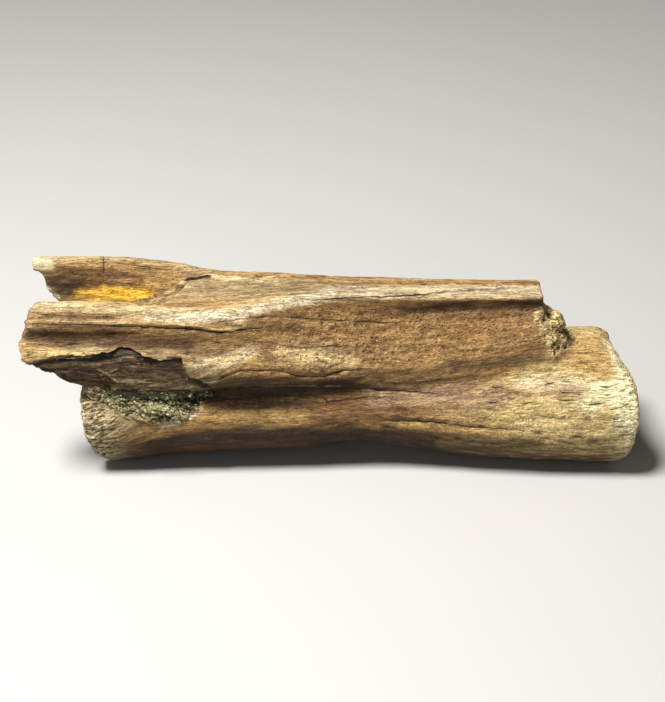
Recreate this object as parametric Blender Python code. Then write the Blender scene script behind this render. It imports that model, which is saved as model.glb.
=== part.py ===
"""A fossil tail vertebra of a long-tailed dinosaur, with sandy rock left in a hollow of its side.

The bone lies on the underside of its centrum, with X along the tail, the front at -X, and Z up.
The centrum is a long spool with dished ends. The neural arch stands on it and ends at the back
in a broken, spongy face. In front it splits into two long prongs, the prezygapophyses, with a
trough between them. Each form is a loft along X: Booleans join them and cut the breaks.
All dimensions are in millimetres. A rail is a line that runs along the bone: its rows hold a
station along X, and then a half-width from the middle plane, a height above the ground, or both.
"""
import bmesh
import bpy
import numpy as np

MM = 0.001

CENTRUM_FRONT, CENTRUM_BACK = -39.8, 47.4
CENTRUM_WIDTH = ((-39.6, 10.0), (-33, 9.8), (-23, 9.3), (-5, 8.6), (5, 8.2), (14, 8.7), (24, 9.7),
                 (34, 10.4), (49, 10.9))
CENTRUM_FLOOR = ((-39.8, -0.5), (-35.5, -0.65), (-32, -0.3), (-28, 0.6), (-20, 1.2), (-5, 1.8),
                 (5, 2.7), (14, 1.6), (24, 0.2), (31, -0.5), (40, -0.65), (47.4, -0.65))
CENTRUM_TOP = ((-39.6, 20.8), (-25, 19.0), (5, 18.0), (24, 19.5), (36, 21.2), (49, 21.2))
BELLY_POWER, BACK_POWER = 2.05, 2.1  # superellipse powers of the centrum's lower and upper half
KEEL_GROOVE, KEEL_GROOVE_HALF = 0.8, 3.2
RIM = ((0.0, 0.90), (0.15, 0.955), (0.7, 0.99), (1.7, 1.0))  # inset from the end face, scale
RIM_DEPTH = 3.5  # the sections between the rims keep this far from the ends
DISH = ((2.2, 0.12), (1.9, 0.40), (1.2, 0.66), (0.35, 0.82))
BACK_LEAN = ((0, 1.8), (4, 0.9), (8.7, 0.4), (12.4, 0.1), (16.8, 0.4), (18.1, 0.9), (19.1, 1.7),
             (20.6, 3.2), (21.4, 4.8))  # height, set inward
BACK_TURN = 0.15  # the back end faces a little to the far side
FRONT_LEAN = ((0, 3.2), (3, 1.6), (8, 0.1), (14, 0), (22, 0.6))
LEAN_REACH = 14.0

ARCH_FRONT, ARCH_BACK = -24.5, 33.4
ARCH_GAP = (-8, -4)  # the rings leave out these stations, where the prongs join
ARCH_FRONT_REACH, ARCH_BACK_REACH = 10.0, 8.0  # how far each end's shape reaches into the arch
ARCH_FRONT_SKEW, SKEW_BASE = 0.55, 24.0  # above this height the front edge runs obliquely back
SKEW_RISE = 4.0  # height over which that sets in
ARCH_RAILS = {
    "foot": ((-24.5, 4.5, 9), (34, 4.5, 9)),
    "valley": ((-24.5, 7.6, 15.2), (-15, 7.2, 15.2), (-5, 7.0, 14.9), (4.5, 6.6, 14.8),
               (14, 6.4, 15.2), (24, 6.2, 16.8), (34, 5.8, 18.4)),
    "ridge": ((-24.5, 10.6, 19.6), (-15, 10.4, 20.6), (-5, 9.0, 20.4), (4.5, 7.4, 19.7),
              (14, 6.5, 19.6), (24, 5.8, 21.0), (34, 5.4, 22.6)),
    "flank": ((-24.5, 8.6, 24.2), (-15, 8.2, 24.7), (-5, 6.2, 24.6), (4.5, 4.9, 24.0),
              (14, 4.2, 23.8), (24, 4.0, 24.6), (34, 4.2, 25.6)),
    "eave": ((-24.5, 8.4, 27.0), (-15, 7.6, 27.6), (-5, 4.6, 28.9), (4.5, 3.5, 28.6),
             (14, 3.0, 28.4), (24, 2.7, 28.5), (34, 2.5, 28.6)),
    "crest": ((-24.5, 7.2, 29.4), (-15, 6.0, 30.0), (-9, 4.5, 30.7), (-4, 3.5, 30.9),
              (4.5, 3.2, 30.6), (14, 3.2, 30.3), (34, 3.2, 30.1)),
    "roof": ((-24.5, 3.0, 29.6), (-15, 2.6, 29.8), (-5, 1.4, 30.8), (4.5, 1.2, 30.6), (34, 1.2, 30.3)),
}
# The broken back of the arch: height, station. It is stepped forward to either side.
ARCH_BREAK = ((15, 38.8), (20, 38.4), (21.4, 37.9), (22.6, 37.3), (24, 36.3), (25.4, 35.0),
              (26.4, 33.8), (27.6, 33.2), (28.4, 33.1), (30.4, 33.0))
ARCH_BREAK_MIDDLE = 21.0
BREAK_CORE, BREAK_STEP = 2.4, 0.9  # half-width of its middle, step a millimetre beyond it
BREAK_RING = (0.5, 0.93)  # scale of the ring inside its edge, across and up
KNOB_CENTRE, KNOB_RADII = (35.2, -1.2, 25.1), (1.8, 2.2, 1.3)  # juts from the broken face

PRONG_TIP, PRONG_ROOT = -48.6, -6.0
PRONG_RAILS = {
    "inner_low": ((-48.6, 5.8, 24.0), (-45.2, 5.6, 21.8), (-42.4, 5.2, 19.6), (-39.5, 5.0, 18.2),
                  (-24, 5.0, 16.0), (-14, 4.0, 16.0), (-6, 3.0, 16.4)),
    "low": ((-48.6, 9.8, 22.8), (-45.2, 9.4, 20.6), (-42.4, 9.2, 18.6), (-39.5, 9.1, 17.6),
            (-24, 8.8, 15.8), (-14, 6.0, 16.4), (-6, 4.0, 17.0)),
    "under": ((-48.6, 10.7, 23.2), (-45.2, 10.6, 22.0), (-42.4, 10.6, 20.9), (-39.5, 10.6, 20.2),
              (-24, 10.5, 18.8), (-14, 7.8, 18.6), (-6, 5.0, 19.0)),
    "flare": ((-48.6, 11.3, 24.0), (-34, 11.3, 23.6), (-24, 11.0, 22.6), (-14, 9.2, 21.6),
              (-6, 6.2, 21.5)),
    "hollow": ((-48.6, 8.9, 26.2), (-33, 8.8, 26.2), (-24, 8.8, 25.3), (-14, 7.6, 25.0),
               (-6, 5.2, 24.8)),
    "ledge": ((-48.6, 9.0, 28.6), (-33, 8.8, 28.7), (-24, 8.5, 28.3), (-14, 6.6, 27.7),
              (-6, 4.0, 27.0)),
    "groove": ((-48.6, 8.1, 29.3), (-33, 7.9, 29.4), (-24, 7.6, 28.9), (-14, 5.9, 28.3),
               (-6, 3.4, 27.6)),
    "crest": ((-48.6, 7.1, 32.0), (-41, 7.1, 32.2), (-28, 7.0, 31.5), (-21.4, 6.7, 30.5),
              (-14, 5.6, 29.7), (-6, 3.0, 28.4)),
    "inner_top": ((-48.6, 5.2, 31.7), (-41, 5.2, 31.8), (-28, 5.1, 31.0), (-21.4, 4.8, 30.0),
                  (-14, 3.8, 29.1), (-6, 2.0, 28.0)),
    "inner_mid": ((-48.6, 4.9, 25.5), (-41, 4.4, 25.0), (-28, 3.6, 25.2), (-14, 2.4, 25.2),
                  (-6, 1.4, 25.2)),
}
NEAR_PRONG = {  # the near side's prong has the lower, more rounded crest
    "crest": ((-48.6, 7.0, 31.2), (-33, 7.0, 31.1), (-24, 6.8, 30.3), (-14, 5.4, 29.4),
              (-6, 3.0, 28.4)),
    "inner_top": ((-48.6, 5.6, 30.9), (-33, 5.5, 30.7), (-24, 5.2, 29.8), (-14, 3.8, 28.9),
                  (-6, 2.0, 28.0)),
}
NEAR_TIP = ((16, -47.2), (23.3, -47.4), (24.3, -48.1), (25.4, -48.5), (26, -47.7), (27, -47.4),
            (28.4, -47.1), (28.9, -46.6), (29.6, -46.9), (31, -45.7), (33, -45.7))  # height, station
FAR_TIP = ((16, -42.5), (21, -42.8), (24.8, -44.4), (27.9, -46.1), (30.2, -46.7), (30.7, -48.0),
           (33, -48.1))
TIP_REACH = 0.28  # share of the prong's length over which a tip's profile fades

# The outer layer of the near prong is broken away inside this outline: station, height.
LAMINA_BREAK = ((-52, 22.4), (-47.5, 22.9), (-44.5, 24.0), (-41.8, 24.5), (-39.9, 24.6),
                (-37.2, 24.5), (-34.2, 24.8), (-32.3, 25.1), (-31.0, 25.1), (-30.2, 24.5),
                (-29.2, 24.2), (-27.5, 23.6), (-26.3, 23.5), (-24.4, 23.6), (-23.2, 23.4),
                (-22.2, 20.2), (-20.4, 19.3), (-19.3, 17.6), (-20, 16.4), (-52, 16.4))
LAMINA_LEVEL, LAMINA_FACE, LAMINA_LEAN = 24.0, 9.6, 0.12  # height, half-width there, loss below it

TROUGH_FLOOR = ((-36.6, 6.2, 20.6), (-33.5, 6.6, 23.8), (-28, 6.6, 25.8), (-20, 6.4, 27.2),
                (-14, 4.4, 27.6))
TROUGH_RISE, TROUGH_BED = 2.2, 14.0  # rise of the floor to either side, height of its underside

HOLLOW_CENTRE, HOLLOW_RADII = (-28.7, -7.3, 13.9), (9.9, 3.2, 4.2)
ROCK_GAP = 0.35  # clearance between the rock and the hollow that it fills
CANAL_RADIUS, CANAL_HEIGHT, CANAL_DEPTH = 1.8, 23.3, 9.0
CANAL_MIDDLE = ARCH_BACK + 4.0

BONE_COLOUR = (0.42, 0.27, 0.13, 1.0)
ROCK_COLOUR = (0.10, 0.11, 0.065, 1.0)
BONE_ROUGHNESS, ROCK_ROUGHNESS = 0.55, 0.85
SMOOTH_BELOW = np.radians(40)  # edges sharper than this stay creased
GROUND_SIZE = 200.0
CUTTER_SIDE = -16.0  # how far out the missing layer's cutter reaches


def along(rail, x):
    """The values of a smooth line through a rail's rows, at the stations x: one column a value."""
    rows = np.array(rail, float)
    knots, values = rows[:, 0], rows[:, 1:]
    slopes = np.gradient(values, knots, axis=0)
    x = np.clip(np.asarray(x, float), knots[0], knots[-1])
    left = np.clip(np.searchsorted(knots, x) - 1, 0, len(knots) - 2)
    gap = (knots[left + 1] - knots[left])[..., None]
    t = (x - knots[left])[..., None] / gap
    start = (1 + 2 * t) * (1 - t) ** 2 * values[left] + t * (1 - t) ** 2 * gap * slopes[left]
    end = t * t * (3 - 2 * t) * values[left + 1] + t * t * (t - 1) * gap * slopes[left + 1]
    return start + end


def profile(rows, height):
    """The straight-sided profile through rows of (height, station), read at these heights."""
    heights, stations = np.array(rows, float).T
    return np.interp(height, heights, stations)


def smooth_ring(corners, per_span):
    """A closed Catmull-Rom curve through each ring of corner points, shaped (rings, corners, 2)."""
    before, after = np.roll(corners, 1, axis=1), np.roll(corners, -1, axis=1)
    beyond = np.roll(corners, -2, axis=1)
    t = (np.arange(per_span) / per_span)[None, None, :, None]
    a, b, c, d = (p[:, :, None, :] for p in (before, corners, after, beyond))
    curve = 2 * b + (c - a) * t + (2 * a - 5 * b + 4 * c - d) * t**2 + (3 * b - a - 3 * c + d) * t**3
    return 0.5 * curve.reshape(len(corners), -1, 2)


def loft(name, x, rings, flat_ends=False):
    """A closed mesh through rings of (y, z) points at the stations x, which may differ within a ring."""
    rings = np.asarray(rings, float)
    count, around = rings.shape[:2]
    x = np.broadcast_to(np.asarray(x, float).reshape(count, -1), (count, around))
    points = np.dstack([x, rings])
    mesh = bmesh.new()
    grid = [[mesh.verts.new(p * MM) for p in ring] for ring in points]
    for this, following in zip(grid, grid[1:]):
        for i in range(around):
            j = (i + 1) % around
            mesh.faces.new((this[i], this[j], following[j], following[i]))
    for ring, place in (grid[0], points[0]), (grid[-1], points[-1]):
        if flat_ends:
            mesh.faces.new(ring)
            continue
        pole = mesh.verts.new(place.mean(axis=0) * MM)
        for i in range(around):
            mesh.faces.new((pole, ring[i], ring[(i + 1) % around]))
    return mesh_object(name, mesh)


def mesh_object(name, mesh):
    """An object made from a finished bmesh, its faces turned outward."""
    bmesh.ops.recalc_face_normals(mesh, faces=mesh.faces)
    data = bpy.data.meshes.new(name)
    mesh.to_mesh(data)
    mesh.free()
    return bpy.data.objects.new(name, data)


def centrum():
    """The spool: superellipse sections that swell to both ends, a groove along the belly, dished ends."""
    inset = np.array([row[0] for row in DISH + RIM])
    scale = np.array([row[1] for row in DISH + RIM])
    middle = np.linspace(CENTRUM_FRONT + RIM_DEPTH, CENTRUM_BACK - RIM_DEPTH, 25)
    x = np.concatenate([CENTRUM_FRONT + inset, middle, (CENTRUM_BACK - inset)[::-1]])
    scale = np.concatenate([scale, np.ones(len(middle)), scale[::-1]])
    width, floor, top = (along(rail, x) for rail in (CENTRUM_WIDTH, CENTRUM_FLOOR, CENTRUM_TOP))
    centre, half = (floor + top) / 2, (top - floor) / 2
    angle = np.linspace(0, 2 * np.pi, 40, endpoint=False)[None, :]
    sideways, upward = np.sin(angle), -np.cos(angle)
    power = np.where(upward < 0, BELLY_POWER, BACK_POWER)
    y = width * np.sign(sideways) * np.abs(sideways) ** (2 / power)
    z = centre + half * np.sign(upward) * np.abs(upward) ** (2 / power)
    groove = KEEL_GROOVE * np.clip(1 - (y / KEEL_GROOVE_HALF) ** 2, 0, 1)
    z = np.where(upward < 0, z + groove, z)
    y, z = y * scale[:, None], centre + (z - centre) * scale[:, None]
    back = np.clip(1 - (CENTRUM_BACK - x) / LEAN_REACH, 0, 1)[:, None]
    front = np.clip(1 - (x - CENTRUM_FRONT) / LEAN_REACH, 0, 1)[:, None]
    behind = profile(BACK_LEAN, z) + BACK_TURN * y
    stations = x[:, None] - back * behind + front * profile(FRONT_LEAN, z)
    return loft("centrum", stations, np.dstack([y, z]))


def broken_back(y, z):
    """The station of the arch's broken back face."""
    return profile(ARCH_BREAK, z) - BREAK_STEP * np.clip(np.abs(y) - BREAK_CORE, 0, None)


def arch():
    """The neural arch: a narrow roof on hollow flanks, oblique in front and broken off behind."""
    x = np.concatenate([np.linspace(ARCH_FRONT, ARCH_GAP[0], 9), np.linspace(ARCH_GAP[1], ARCH_BACK, 13)])
    near = np.stack([along(ARCH_RAILS[name], x) for name in ARCH_RAILS], axis=1)
    sides = (-1, 1) * near, (1, 1) * near[:, ::-1]
    rings = smooth_ring(np.concatenate(sides, axis=1), 2)
    behind = np.clip(1 - (ARCH_BACK - x) / ARCH_BACK_REACH, 0, 1)[:, None]
    ahead = np.clip(1 - (x - ARCH_FRONT) / ARCH_FRONT_REACH, 0, 1)[:, None]
    y, z = rings[..., 0], rings[..., 1]
    skew = ARCH_FRONT_SKEW * y * np.clip((z - SKEW_BASE) / SKEW_RISE, 0, 1)
    stations = x[:, None] + behind * (broken_back(y, z) - ARCH_BACK) + ahead * skew
    middle = np.array([0, ARCH_BREAK_MIDDLE])
    face = middle + (rings[-1:] - middle) * BREAK_RING
    stations = np.concatenate([stations, broken_back(face[..., 0], face[..., 1])])
    return loft("arch", stations, np.concatenate([rings, face]))


def prong(name, side, tip, rails):
    """One prezygapophysis: a leaning plate that sinks into the arch, its broken tip cut to a profile."""
    share = np.concatenate([np.linspace(0, TIP_REACH, 6), np.linspace(TIP_REACH, 1, 15)[1:]])
    x = PRONG_TIP + share * (PRONG_ROOT - PRONG_TIP)
    corners = np.stack([along(rail, x) for rail in rails.values()], axis=1) * (side, 1)
    rings = smooth_ring(corners, 2)
    reach = np.clip(1 - share / TIP_REACH, 0, 1)[:, None]
    stations = x[:, None] + reach * (profile(tip, rings[..., 1]) - PRONG_TIP)
    return loft(name, stations, rings)


def trough_floor():
    """The floor between the prongs, a dished bed that rises to the roof's front edge."""
    x = np.linspace(TROUGH_FLOOR[0][0], TROUGH_FLOOR[-1][0], 10)
    half, floor = along(TROUGH_FLOOR, x).T[..., None]
    across = np.linspace(-1, 1, 7)
    top = np.stack([half * across, floor + TROUGH_RISE * across**2], axis=2)
    bed = np.stack([half * (1, -1), np.full((len(x), 2), TROUGH_BED)], axis=2)
    return loft("trough_floor", x, np.concatenate([top, bed], axis=1), flat_ends=True)


def ellipsoid(name, centre, radii):
    """A sphere stretched to three radii, its place and size put into its mesh."""
    bpy.ops.mesh.primitive_uv_sphere_add(segments=28, ring_count=14, radius=1)
    made = bpy.context.object
    made.name = name
    made.scale = [radius * MM for radius in radii]
    made.location = [c * MM for c in centre]
    bpy.ops.object.transform_apply(location=True, rotation=False, scale=True)
    return made


def lamina_break():
    """The layer missing from the near prong: its outline, carried inward to a sloping face."""
    x, z = np.array(LAMINA_BREAK, float).T
    inner = -(LAMINA_FACE - LAMINA_LEAN * (LAMINA_LEVEL - z))
    mesh = bmesh.new()
    outer = np.full(len(x), CUTTER_SIDE)
    near, far = ([mesh.verts.new(np.array(p) * MM) for p in zip(x, y, z)] for y in (inner, outer))
    mesh.faces.new(near)
    mesh.faces.new(far[::-1])
    for i in range(len(x)):
        j = (i + 1) % len(x)
        mesh.faces.new((near[j], near[i], far[i], far[j]))
    return mesh_object("lamina_break", mesh)


def canal():
    """The neural canal, open in the broken back of the arch."""
    bpy.ops.mesh.primitive_cylinder_add(vertices=20, radius=CANAL_RADIUS * MM, depth=2 * CANAL_DEPTH * MM,
                                        rotation=(0, np.pi / 2, 0),
                                        location=(CANAL_MIDDLE * MM, 0, CANAL_HEIGHT * MM))
    made = bpy.context.object
    made.name = "canal"
    return made


def ground():
    """Everything below the surface that the bone lies on, which leaves it flat feet."""
    bpy.ops.mesh.primitive_cube_add(size=GROUND_SIZE * MM, location=(0, 0, -GROUND_SIZE / 2 * MM))
    made = bpy.context.object
    made.name = "ground"
    return made


def material(name, colour, roughness):
    """A plain material of one colour and roughness."""
    made = bpy.data.materials.new(name)
    made.use_nodes = True
    shader = made.node_tree.nodes["Principled BSDF"]
    shader.inputs["Base Color"].default_value = colour
    shader.inputs["Roughness"].default_value = roughness
    made.diffuse_color = colour
    return made


def put_in(collection, obj):
    """Moves an object into one collection, out of any others."""
    for other in list(obj.users_collection):
        other.objects.unlink(obj)
    collection.objects.link(obj)


def boolean(obj, other, operation):
    """Joins the other object to this one, or cuts it away, with a live modifier."""
    modifier = obj.modifiers.new(f"{operation.lower()}_{other.name}", "BOOLEAN")
    modifier.operation = operation
    modifier.object = other
    modifier.solver = "EXACT"


def shade_smooth(obj):
    """Rounds the shading of a piece, but keeps the creases at its broken edges."""
    for face in obj.data.polygons:
        face.use_smooth = True
    obj.data.set_sharp_from_angle(angle=SMOOTH_BELOW)


def main():
    """Makes the bone and the rock in its side."""
    for obj in list(bpy.data.objects):
        bpy.data.objects.remove(obj)
    part = bpy.data.collections.new("fossil_vertebra")
    helpers = bpy.data.collections.new("shapes_and_cutters")
    for collection in (part, helpers):
        bpy.context.scene.collection.children.link(collection)

    bone = centrum()
    bone.name = "vertebra"
    joined = [arch(), prong("near_prong", -1, NEAR_TIP, PRONG_RAILS | NEAR_PRONG),
              prong("far_prong", 1, FAR_TIP, PRONG_RAILS), trough_floor(),
              ellipsoid("knob", KNOB_CENTRE, KNOB_RADII)]
    cut = [lamina_break(), ellipsoid("rock_hollow", HOLLOW_CENTRE, HOLLOW_RADII), canal(), ground()]
    for obj in joined:
        boolean(bone, obj, "UNION")
    for obj in cut:
        boolean(bone, obj, "DIFFERENCE")
    for obj in joined + cut:
        put_in(helpers, obj)
        obj.hide_render = True
        obj.display_type = "WIRE"
    rock = ellipsoid("side_rock", HOLLOW_CENTRE, [radius - ROCK_GAP for radius in HOLLOW_RADII])
    for obj in [bone, rock] + joined + cut[1:3]:
        shade_smooth(obj)
    for obj in (bone, rock):
        put_in(part, obj)
    bone.data.materials.append(material("fossil_bone", BONE_COLOUR, BONE_ROUGHNESS))
    rock.data.materials.append(material("sandy_rock", ROCK_COLOUR, ROCK_ROUGHNESS))


main()
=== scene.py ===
"""The look of a fossil tail vertebra, built around its CAD frame.

The bone is a long spool with a broken neural arch and two broken prongs. Its forms are lofts
along X, fused on a fine voxel grid, then weathered, cracked and pitted by displacement. A layer is
missing from the near prong, and green-black sandy rock sticks in the hollow below it.
Shapes are worked out in millimetres and written in metres. A rail is a line along the bone: its
rows hold a station on X and then a half-width, a height, or both. A profile's rows hold a height
and then a station, or how far something is set in. Rings run across the bone, and a span is the
stretch of a ring between two rails.
"""
import math

import bpy
import numpy as np
from bpy.props import FloatProperty, FloatVectorProperty, PointerProperty
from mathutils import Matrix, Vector


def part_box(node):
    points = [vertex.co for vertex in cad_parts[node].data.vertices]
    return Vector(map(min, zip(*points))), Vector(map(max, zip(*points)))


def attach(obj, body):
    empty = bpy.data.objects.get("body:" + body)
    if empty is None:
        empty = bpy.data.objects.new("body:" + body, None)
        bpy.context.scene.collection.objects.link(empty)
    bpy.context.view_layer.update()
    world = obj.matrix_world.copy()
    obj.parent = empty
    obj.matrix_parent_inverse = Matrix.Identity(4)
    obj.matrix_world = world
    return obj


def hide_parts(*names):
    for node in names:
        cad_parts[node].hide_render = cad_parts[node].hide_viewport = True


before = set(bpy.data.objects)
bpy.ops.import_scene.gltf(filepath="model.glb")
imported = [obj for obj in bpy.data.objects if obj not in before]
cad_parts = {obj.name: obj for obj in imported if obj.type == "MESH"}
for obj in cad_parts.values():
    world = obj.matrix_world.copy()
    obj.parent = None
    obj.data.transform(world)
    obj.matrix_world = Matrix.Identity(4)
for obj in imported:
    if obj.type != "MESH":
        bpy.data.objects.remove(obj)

bl_info = {
    "name": "Fossil tail vertebra",
    "version": (1, 0, 0),
    "blender": (4, 5, 0),
    "location": "3D View > Sidebar > Fossil",
    "description": "Dresses the CAD frame of a fossil tail vertebra: bone, rock, and stage",
    "category": "Object",
}

MM = 0.001
ANY = math.inf

# The spool. The rim and the dish of an end hold a distance in from it and a share of the section.
CENTRUM_FRONT, CENTRUM_BACK = -39.8, 47.4
CENTRUM_WIDTH = ((-39.6, 10.0), (-33, 9.8), (-23, 9.3), (-5, 8.6), (5, 8.2), (14, 8.7), (24, 9.7),
                 (34, 10.4), (49, 10.9))
CENTRUM_FLOOR = ((-39.8, -0.5), (-35.5, -0.65), (-32, -0.3), (-28, 0.6), (-20, 1.2), (-5, 1.8),
                 (5, 2.7), (14, 1.6), (24, 0.2), (31, -0.5), (40, -0.65), (47.4, -0.65))
CENTRUM_TOP = ((-39.6, 20.8), (-25, 19.0), (5, 18.0), (24, 19.5), (36, 21.2), (49, 21.2))
BELLY_POWER, BACK_POWER = 2.05, 2.1
KEEL_GROOVE, KEEL_GROOVE_HALF = 0.8, 3.2
RIM = ((0.0, 0.90), (0.15, 0.955), (0.7, 0.99), (1.7, 1.0))
DISH = ((2.4, 0.02), (2.2, 0.12), (1.9, 0.40), (1.2, 0.66), (0.35, 0.82))
RIM_DEPTH = 2.6
BACK_LEAN = ((0, 1.8), (4, 0.9), (8.7, 0.4), (12.4, 0.1), (16.8, 0.4), (18.1, 0.9), (19.1, 1.7),
             (20.6, 3.2), (21.4, 4.8))
BACK_TURN = 0.15
FRONT_LEAN = ((0, 3.2), (3, 1.6), (8, 0.1), (14, 0), (22, 0.6))
LEAN_REACH = 14.0
CENTRUM_RINGS, CENTRUM_SIDES = 110, 140

# The arch. Its front edge runs obliquely back above the skew's base, and its back end is broken off.
ARCH_FRONT, ARCH_BACK = -24.5, 33.4
ARCH_FRONT_REACH, ARCH_BACK_REACH = 10.0, 8.0
ARCH_FRONT_SKEW, SKEW_BASE, SKEW_RISE = 0.55, 24.0, 4.0
ARCH_RAILS = {
    "foot": ((-24.5, 4.5, 9), (34, 4.5, 9)),
    "valley": ((-24.5, 7.6, 15.2), (-15, 7.2, 15.2), (-5, 7.0, 14.9), (4.5, 6.6, 14.8),
               (14, 6.4, 15.2), (24, 6.2, 16.8), (34, 5.8, 18.4)),
    "ridge": ((-24.5, 10.6, 19.6), (-15, 10.4, 20.6), (-5, 9.0, 20.4), (4.5, 7.4, 19.7),
              (14, 6.5, 19.6), (24, 5.8, 21.0), (34, 5.4, 22.6)),
    "flank": ((-24.5, 8.6, 24.2), (-15, 8.2, 24.7), (-5, 6.2, 24.6), (4.5, 4.9, 24.0),
              (14, 4.2, 23.8), (24, 4.0, 24.6), (34, 4.2, 25.6)),
    "eave": ((-24.5, 8.4, 27.0), (-15, 7.6, 27.6), (-5, 4.6, 28.9), (4.5, 3.5, 28.6),
             (14, 3.0, 28.4), (24, 2.7, 28.5), (34, 2.5, 28.6)),
    "crest": ((-24.5, 7.2, 29.4), (-15, 6.0, 30.0), (-9, 4.5, 30.7), (-4, 3.5, 30.9),
              (4.5, 3.2, 30.6), (14, 3.2, 30.3), (34, 3.2, 30.1)),
    "roof": ((-24.5, 3.0, 29.6), (-15, 2.6, 29.8), (-5, 1.4, 30.8), (4.5, 1.2, 30.6), (34, 1.2, 30.3)),
}
ARCH_BREAK = ((15, 38.8), (20, 38.4), (21.4, 37.9), (22.6, 37.3), (24, 36.3), (25.4, 35.0),
              (26.4, 33.8), (27.6, 33.2), (28.4, 33.1), (30.4, 33.0))
ARCH_BREAK_MIDDLE = 21.0
BREAK_CORE, BREAK_STEP = 2.4, 0.9
BREAK_SHARES, BREAK_HEIGHT_SHARE = (0.9, 0.05), 0.55
ARCH_RINGS, ARCH_SPAN, BREAK_RINGS = 90, 7, 12
KNOB_CENTRE, KNOB_RADII = (35.2, -1.2, 25.1), (1.8, 2.2, 1.3)

# The prongs. The near one has its own crest and inner edge, and each has its own broken tip.
PRONG_TIP, PRONG_ROOT = -48.6, -6.0
PRONG_RAILS = {
    "inner_low": ((-48.6, 5.8, 24.0), (-45.2, 5.6, 21.8), (-42.4, 5.2, 19.6), (-39.5, 5.0, 18.2),
                  (-24, 5.0, 16.0), (-14, 4.0, 16.0), (-6, 3.0, 16.4)),
    "low": ((-48.6, 9.8, 22.8), (-45.2, 9.4, 20.6), (-42.4, 9.2, 18.6), (-39.5, 9.1, 17.6),
            (-24, 8.8, 15.8), (-14, 6.0, 16.4), (-6, 4.0, 17.0)),
    "under": ((-48.6, 10.7, 23.2), (-45.2, 10.6, 22.0), (-42.4, 10.6, 20.9), (-39.5, 10.6, 20.2),
              (-24, 10.5, 18.8), (-14, 7.8, 18.6), (-6, 5.0, 19.0)),
    "flare": ((-48.6, 11.3, 24.0), (-34, 11.3, 23.6), (-24, 11.0, 22.6), (-14, 9.2, 21.6),
              (-6, 6.2, 21.5)),
    "hollow": ((-48.6, 8.9, 26.2), (-33, 8.8, 26.2), (-24, 8.8, 25.3), (-14, 7.6, 25.0),
               (-6, 5.2, 24.8)),
    "ledge": ((-48.6, 9.0, 28.6), (-33, 8.8, 28.7), (-24, 8.5, 28.3), (-14, 6.6, 27.7),
              (-6, 4.0, 27.0)),
    "groove": ((-48.6, 8.1, 29.3), (-33, 7.9, 29.4), (-24, 7.6, 28.9), (-14, 5.9, 28.3),
               (-6, 3.4, 27.6)),
    "crest": ((-48.6, 7.1, 32.0), (-41, 7.1, 32.2), (-28, 7.0, 31.5), (-21.4, 6.7, 30.5),
              (-14, 5.6, 29.7), (-6, 3.0, 28.4)),
    "inner_top": ((-48.6, 5.2, 31.7), (-41, 5.2, 31.8), (-28, 5.1, 31.0), (-21.4, 4.8, 30.0),
                  (-14, 3.8, 29.1), (-6, 2.0, 28.0)),
    "inner_mid": ((-48.6, 4.9, 25.5), (-41, 4.4, 25.0), (-28, 3.6, 25.2), (-14, 2.4, 25.2),
                  (-6, 1.4, 25.2)),
}
NEAR_PRONG = {
    "crest": ((-48.6, 7.0, 31.2), (-33, 7.0, 31.1), (-24, 6.8, 30.3), (-14, 5.4, 29.4),
              (-6, 3.0, 28.4)),
    "inner_top": ((-48.6, 5.6, 30.9), (-33, 5.5, 30.7), (-24, 5.2, 29.8), (-14, 3.8, 28.9),
                  (-6, 2.0, 28.0)),
}
NEAR_TIP = ((16, -47.2), (23.3, -47.4), (24.3, -48.1), (25.4, -48.5), (26, -47.7), (27, -47.4),
            (28.4, -47.1), (28.9, -46.6), (29.6, -46.9), (31, -45.7), (33, -45.7))
FAR_TIP = ((16, -42.5), (21, -42.8), (24.8, -44.4), (27.9, -46.1), (30.2, -46.7), (30.7, -48.0),
           (33, -48.1))
TIP_REACH, TIP_SHARES = 0.28, (0.05, 0.92)
PRONG_RINGS, PRONG_SPAN, TIP_RINGS = 80, 8, 10

TROUGH_FLOOR = ((-36.6, 6.2, 20.6), (-33.5, 6.6, 23.8), (-28, 6.6, 25.8), (-20, 6.4, 27.2),
                (-14, 4.4, 27.6))
TROUGH_RISE, TROUGH_BED = 2.2, 14.0
TROUGH_RINGS, TROUGH_TOP_POINTS, TROUGH_BED_POINTS = 50, 25, 9

# The top edge of the missing layer: station, height. Below it the outer layer is gone.
LAYER_EDGE = ((-52, 22.4), (-47.5, 22.9), (-44.5, 24.0), (-41.8, 24.5), (-39.9, 24.6),
              (-37.2, 24.5), (-34.2, 24.8), (-32.3, 25.1), (-31.0, 25.1), (-30.2, 24.5),
              (-29.2, 24.2), (-27.5, 23.6), (-26.3, 23.5), (-24.4, 23.6), (-23.2, 23.4),
              (-22.2, 20.2), (-20.4, 19.3), (-19.3, 17.6), (-19.1, 15.6))
LAYER_FACE, LAYER_LEVEL, LAYER_LEAN, LAYER_LEAN_ABOVE = 9.6, 24.0, 0.12, 1.1
LAYER_LEFT, LAYER_FOOT, LAYER_OUTSIDE = 0.35, 15.0, -16.0
LAYER_RINGS, LAYER_ROWS = 150, 56
EDGE_LEAST, EDGE_OUT, EDGE_UP = 8.0, 0.5, 0.12
EDGE_UNDERCUT, EDGE_ROW = 0.3, 0.02
# The edges of the torn sheets on that face: how far below the top edge, their step, and its ramp.
SHEET_EDGES, SHEET_STEP, SHEET_RAMP = (1.9, 4.0), 0.34, 0.12
# A slanting step on that face: station, height. It dies out faster below than above.
LAYER_BEVEL = ((-45.5, 20.8), (-36.9, 20.5), (-35.2, 19.5), (-33.6, 18.3), (-31.5, 18.0))
BEVEL_HEIGHT, BEVEL_ABOVE, BEVEL_BELOW = 0.55, 1.6, 0.8
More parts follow.
